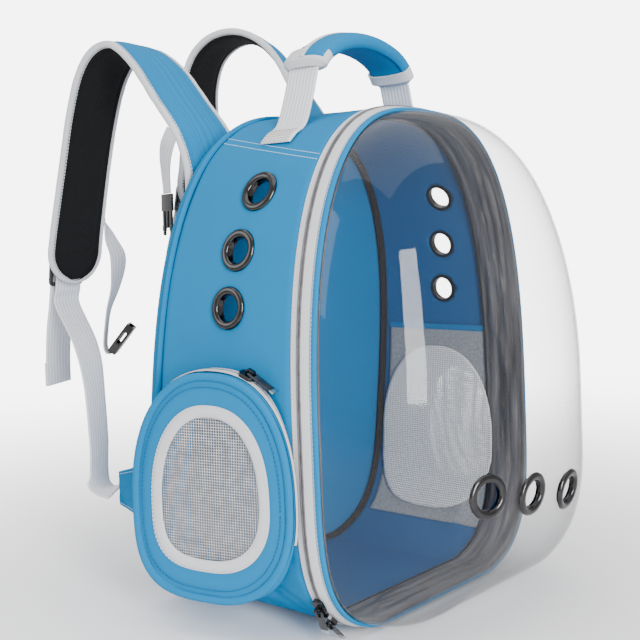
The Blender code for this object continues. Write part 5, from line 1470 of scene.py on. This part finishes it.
def makeSocket(spot, across, values=buckleValues):
    matrix = buckleMatrix(spot, across, "left")
    bm = plainBox((values["width"], values["length"], values["thickness"]))
    bmesh.ops.subdivide_edges(bm, edges=bm.edges[:], cuts=6, use_grid_fill=True)
    for vert in bm.verts:
        along = vert.co.y / values["length"] + 0.5
        vert.co.x *= 0.93 + 0.07 * math.cos(2 * math.pi * (along - 0.5))
    bmesh.ops.translate(bm, vec=(0, values["length"] / 2, 0), verts=bm.verts)
    bmesh.ops.transform(bm, matrix=matrix, verts=bm.verts)
    piece = finishPiece("buckleSocket", bm, "plastic", "buckle_socket", "black_plastic", smooth=40)
    room = (values["width"] - 2.4 * values["wall"], values["socket"] * 2, values["thickness"] - 2 * values["wall"])
    tools = [roundedBox(room, (0, values["length"], 0), matrix, 0.0005)]
    notch = (0.006, values["length"] * 0.42, values["thickness"] * 0.42)
    for side in (-1, 1):
        place = (side * values["width"] / 2, values["length"] * 0.55, 0)
        tools.append(roundedBox(notch, place, matrix, 0.0008))
    cutPiece(piece, tools, 0)
    addRound(piece, 0.0006, angle=40)


def makeProngs(spot, across, values=buckleValues):
    matrix = buckleMatrix(spot, across, "right")
    thick = values["thickness"] - 2 * values["wall"] - 4 * gap
    side = values["width"] / 2 - values["wall"] - gap - values["prongWidth"] / 2
    end = values["base"] + values["prong"]
    parts = [roundedBox((values["width"], values["base"], thick), (0, values["base"] / 2, 0), matrix, 0.0012, 3)]
    for centre, width, reach in ((side, values["prongWidth"], end),
                                 (0.0, values["guide"], end - values["prong"] * 0.3),
                                 (-side, values["prongWidth"], end)):
        long = reach - values["base"] + 0.002
        place = (centre, values["base"] - 0.002 + long / 2, 0)
        parts.append(roundedBox((width, long, thick * 0.9), place, matrix, 0.0011, 3))
    barb = (values["prongWidth"] * 1.3, 0.0075, thick)
    for centre in (side, -side):
        parts.append(roundedBox(barb, (centre, end - 0.008, 0), matrix, 0.0011, 3))
    finishPiece("buckleProngs", joinMeshes(parts), "plastic", "buckle_prongs", "black_plastic", smooth=40)


for side, label in sides:
    frames, length = makeStrap(label)
    matrix, slotHeight = makeLock(frames, length, label)
    makeLowerWebbing(makeTab(side, label), -side, matrix, slotHeight, label)
    makeLoop(frames, length, matrix, slotHeight, label)
    spot, across = makeChestWebbing(side, frames, length, label)
    if label == "left":
        makeSocket(spot, across)
    else:
        makeProngs(spot, across)
print("straps made")

stageValues = {"floor": 3.0, "floorColour": (0.95, 0.95, 0.955), "lightStrength": 0.85, "backdropStrength": 6.5,
               "fadeFrom": 0.15, "fadeTo": 1.5}


def addStage(values):
    bm = bmesh.new()
    bmesh.ops.create_grid(bm, x_segments=1, y_segments=1, size=values["floor"])
    mesh = bpy.data.meshes.new("floor")
    bm.to_mesh(mesh)
    bm.free()
    floor = bpy.data.objects.new("floor", mesh)
    floor.location.z = -0.0002
    bpy.context.scene.collection.objects.link(floor)
    made, tree, shader = startMaterial("floorPaper", 0.8)
    shade = spread(tree, grain(tree, 3.0), 0.3, 0.7)
    mixed = mixColour(tree, shade, [c * 0.99 for c in values["floorColour"]], values["floorColour"])
    place = addNode(tree, "ShaderNodeTexCoord").outputs["Object"]
    distance = addNode(tree, "ShaderNodeVectorMath", {0: place}, operation='LENGTH').outputs["Value"]
    fade = {0: distance, 1: values["fadeFrom"], 2: values["fadeTo"], 3: 1.0, 4: 0.0}
    faded = addNode(tree, "ShaderNodeMapRange", fade, interpolation_type='SMOOTHSTEP').outputs[0]
    setInputs(tree, shader, {"Base Color": mixed, "Alpha": faded})
    mesh.materials.append(made)
    world = bpy.data.worlds.new("studio")
    world.use_nodes = True
    tree = world.node_tree
    seen = addNode(tree, "ShaderNodeLightPath").outputs["Is Camera Ray"]
    strength = spread(tree, seen, 0.0, 1.0, values["lightStrength"], values["backdropStrength"])
    setInputs(tree, tree.nodes["Background"], {"Strength": strength, "Color": (1, 1, 1, 1)})
    bpy.context.scene.world = world


lightValues = {  # place, target, size, watts; the second one gives the bubble its tall reflection
    "topLight": ((0, 0, 2.6), (0, 0, 0), (3.0, 3.0), 55),
    "windowLight": ((-0.89, -1.44, 0.58), (-0.12, -0.157, 0.3), (0.44, 1.05), 42),
    "sideLight": ((-1.6, 1.4, 1.1), (0, 0, 0.2), (1.2, 1.2), 16),
}


def addLight(name, place, target, size, power):
    data = bpy.data.lights.new(name, 'AREA')
    data.shape = 'RECTANGLE'
    data.size, data.size_y = size
    data.energy = power
    light = bpy.data.objects.new(name, data)
    bpy.context.scene.collection.objects.link(light)
    light.location = place
    light.rotation_mode = 'QUATERNION'
    light.rotation_quaternion = (Vector(target) - Vector(place)).to_track_quat('-Z', 'Y')


addStage(stageValues)
for name, row in lightValues.items():
    addLight(name, *row)
print("stage made")
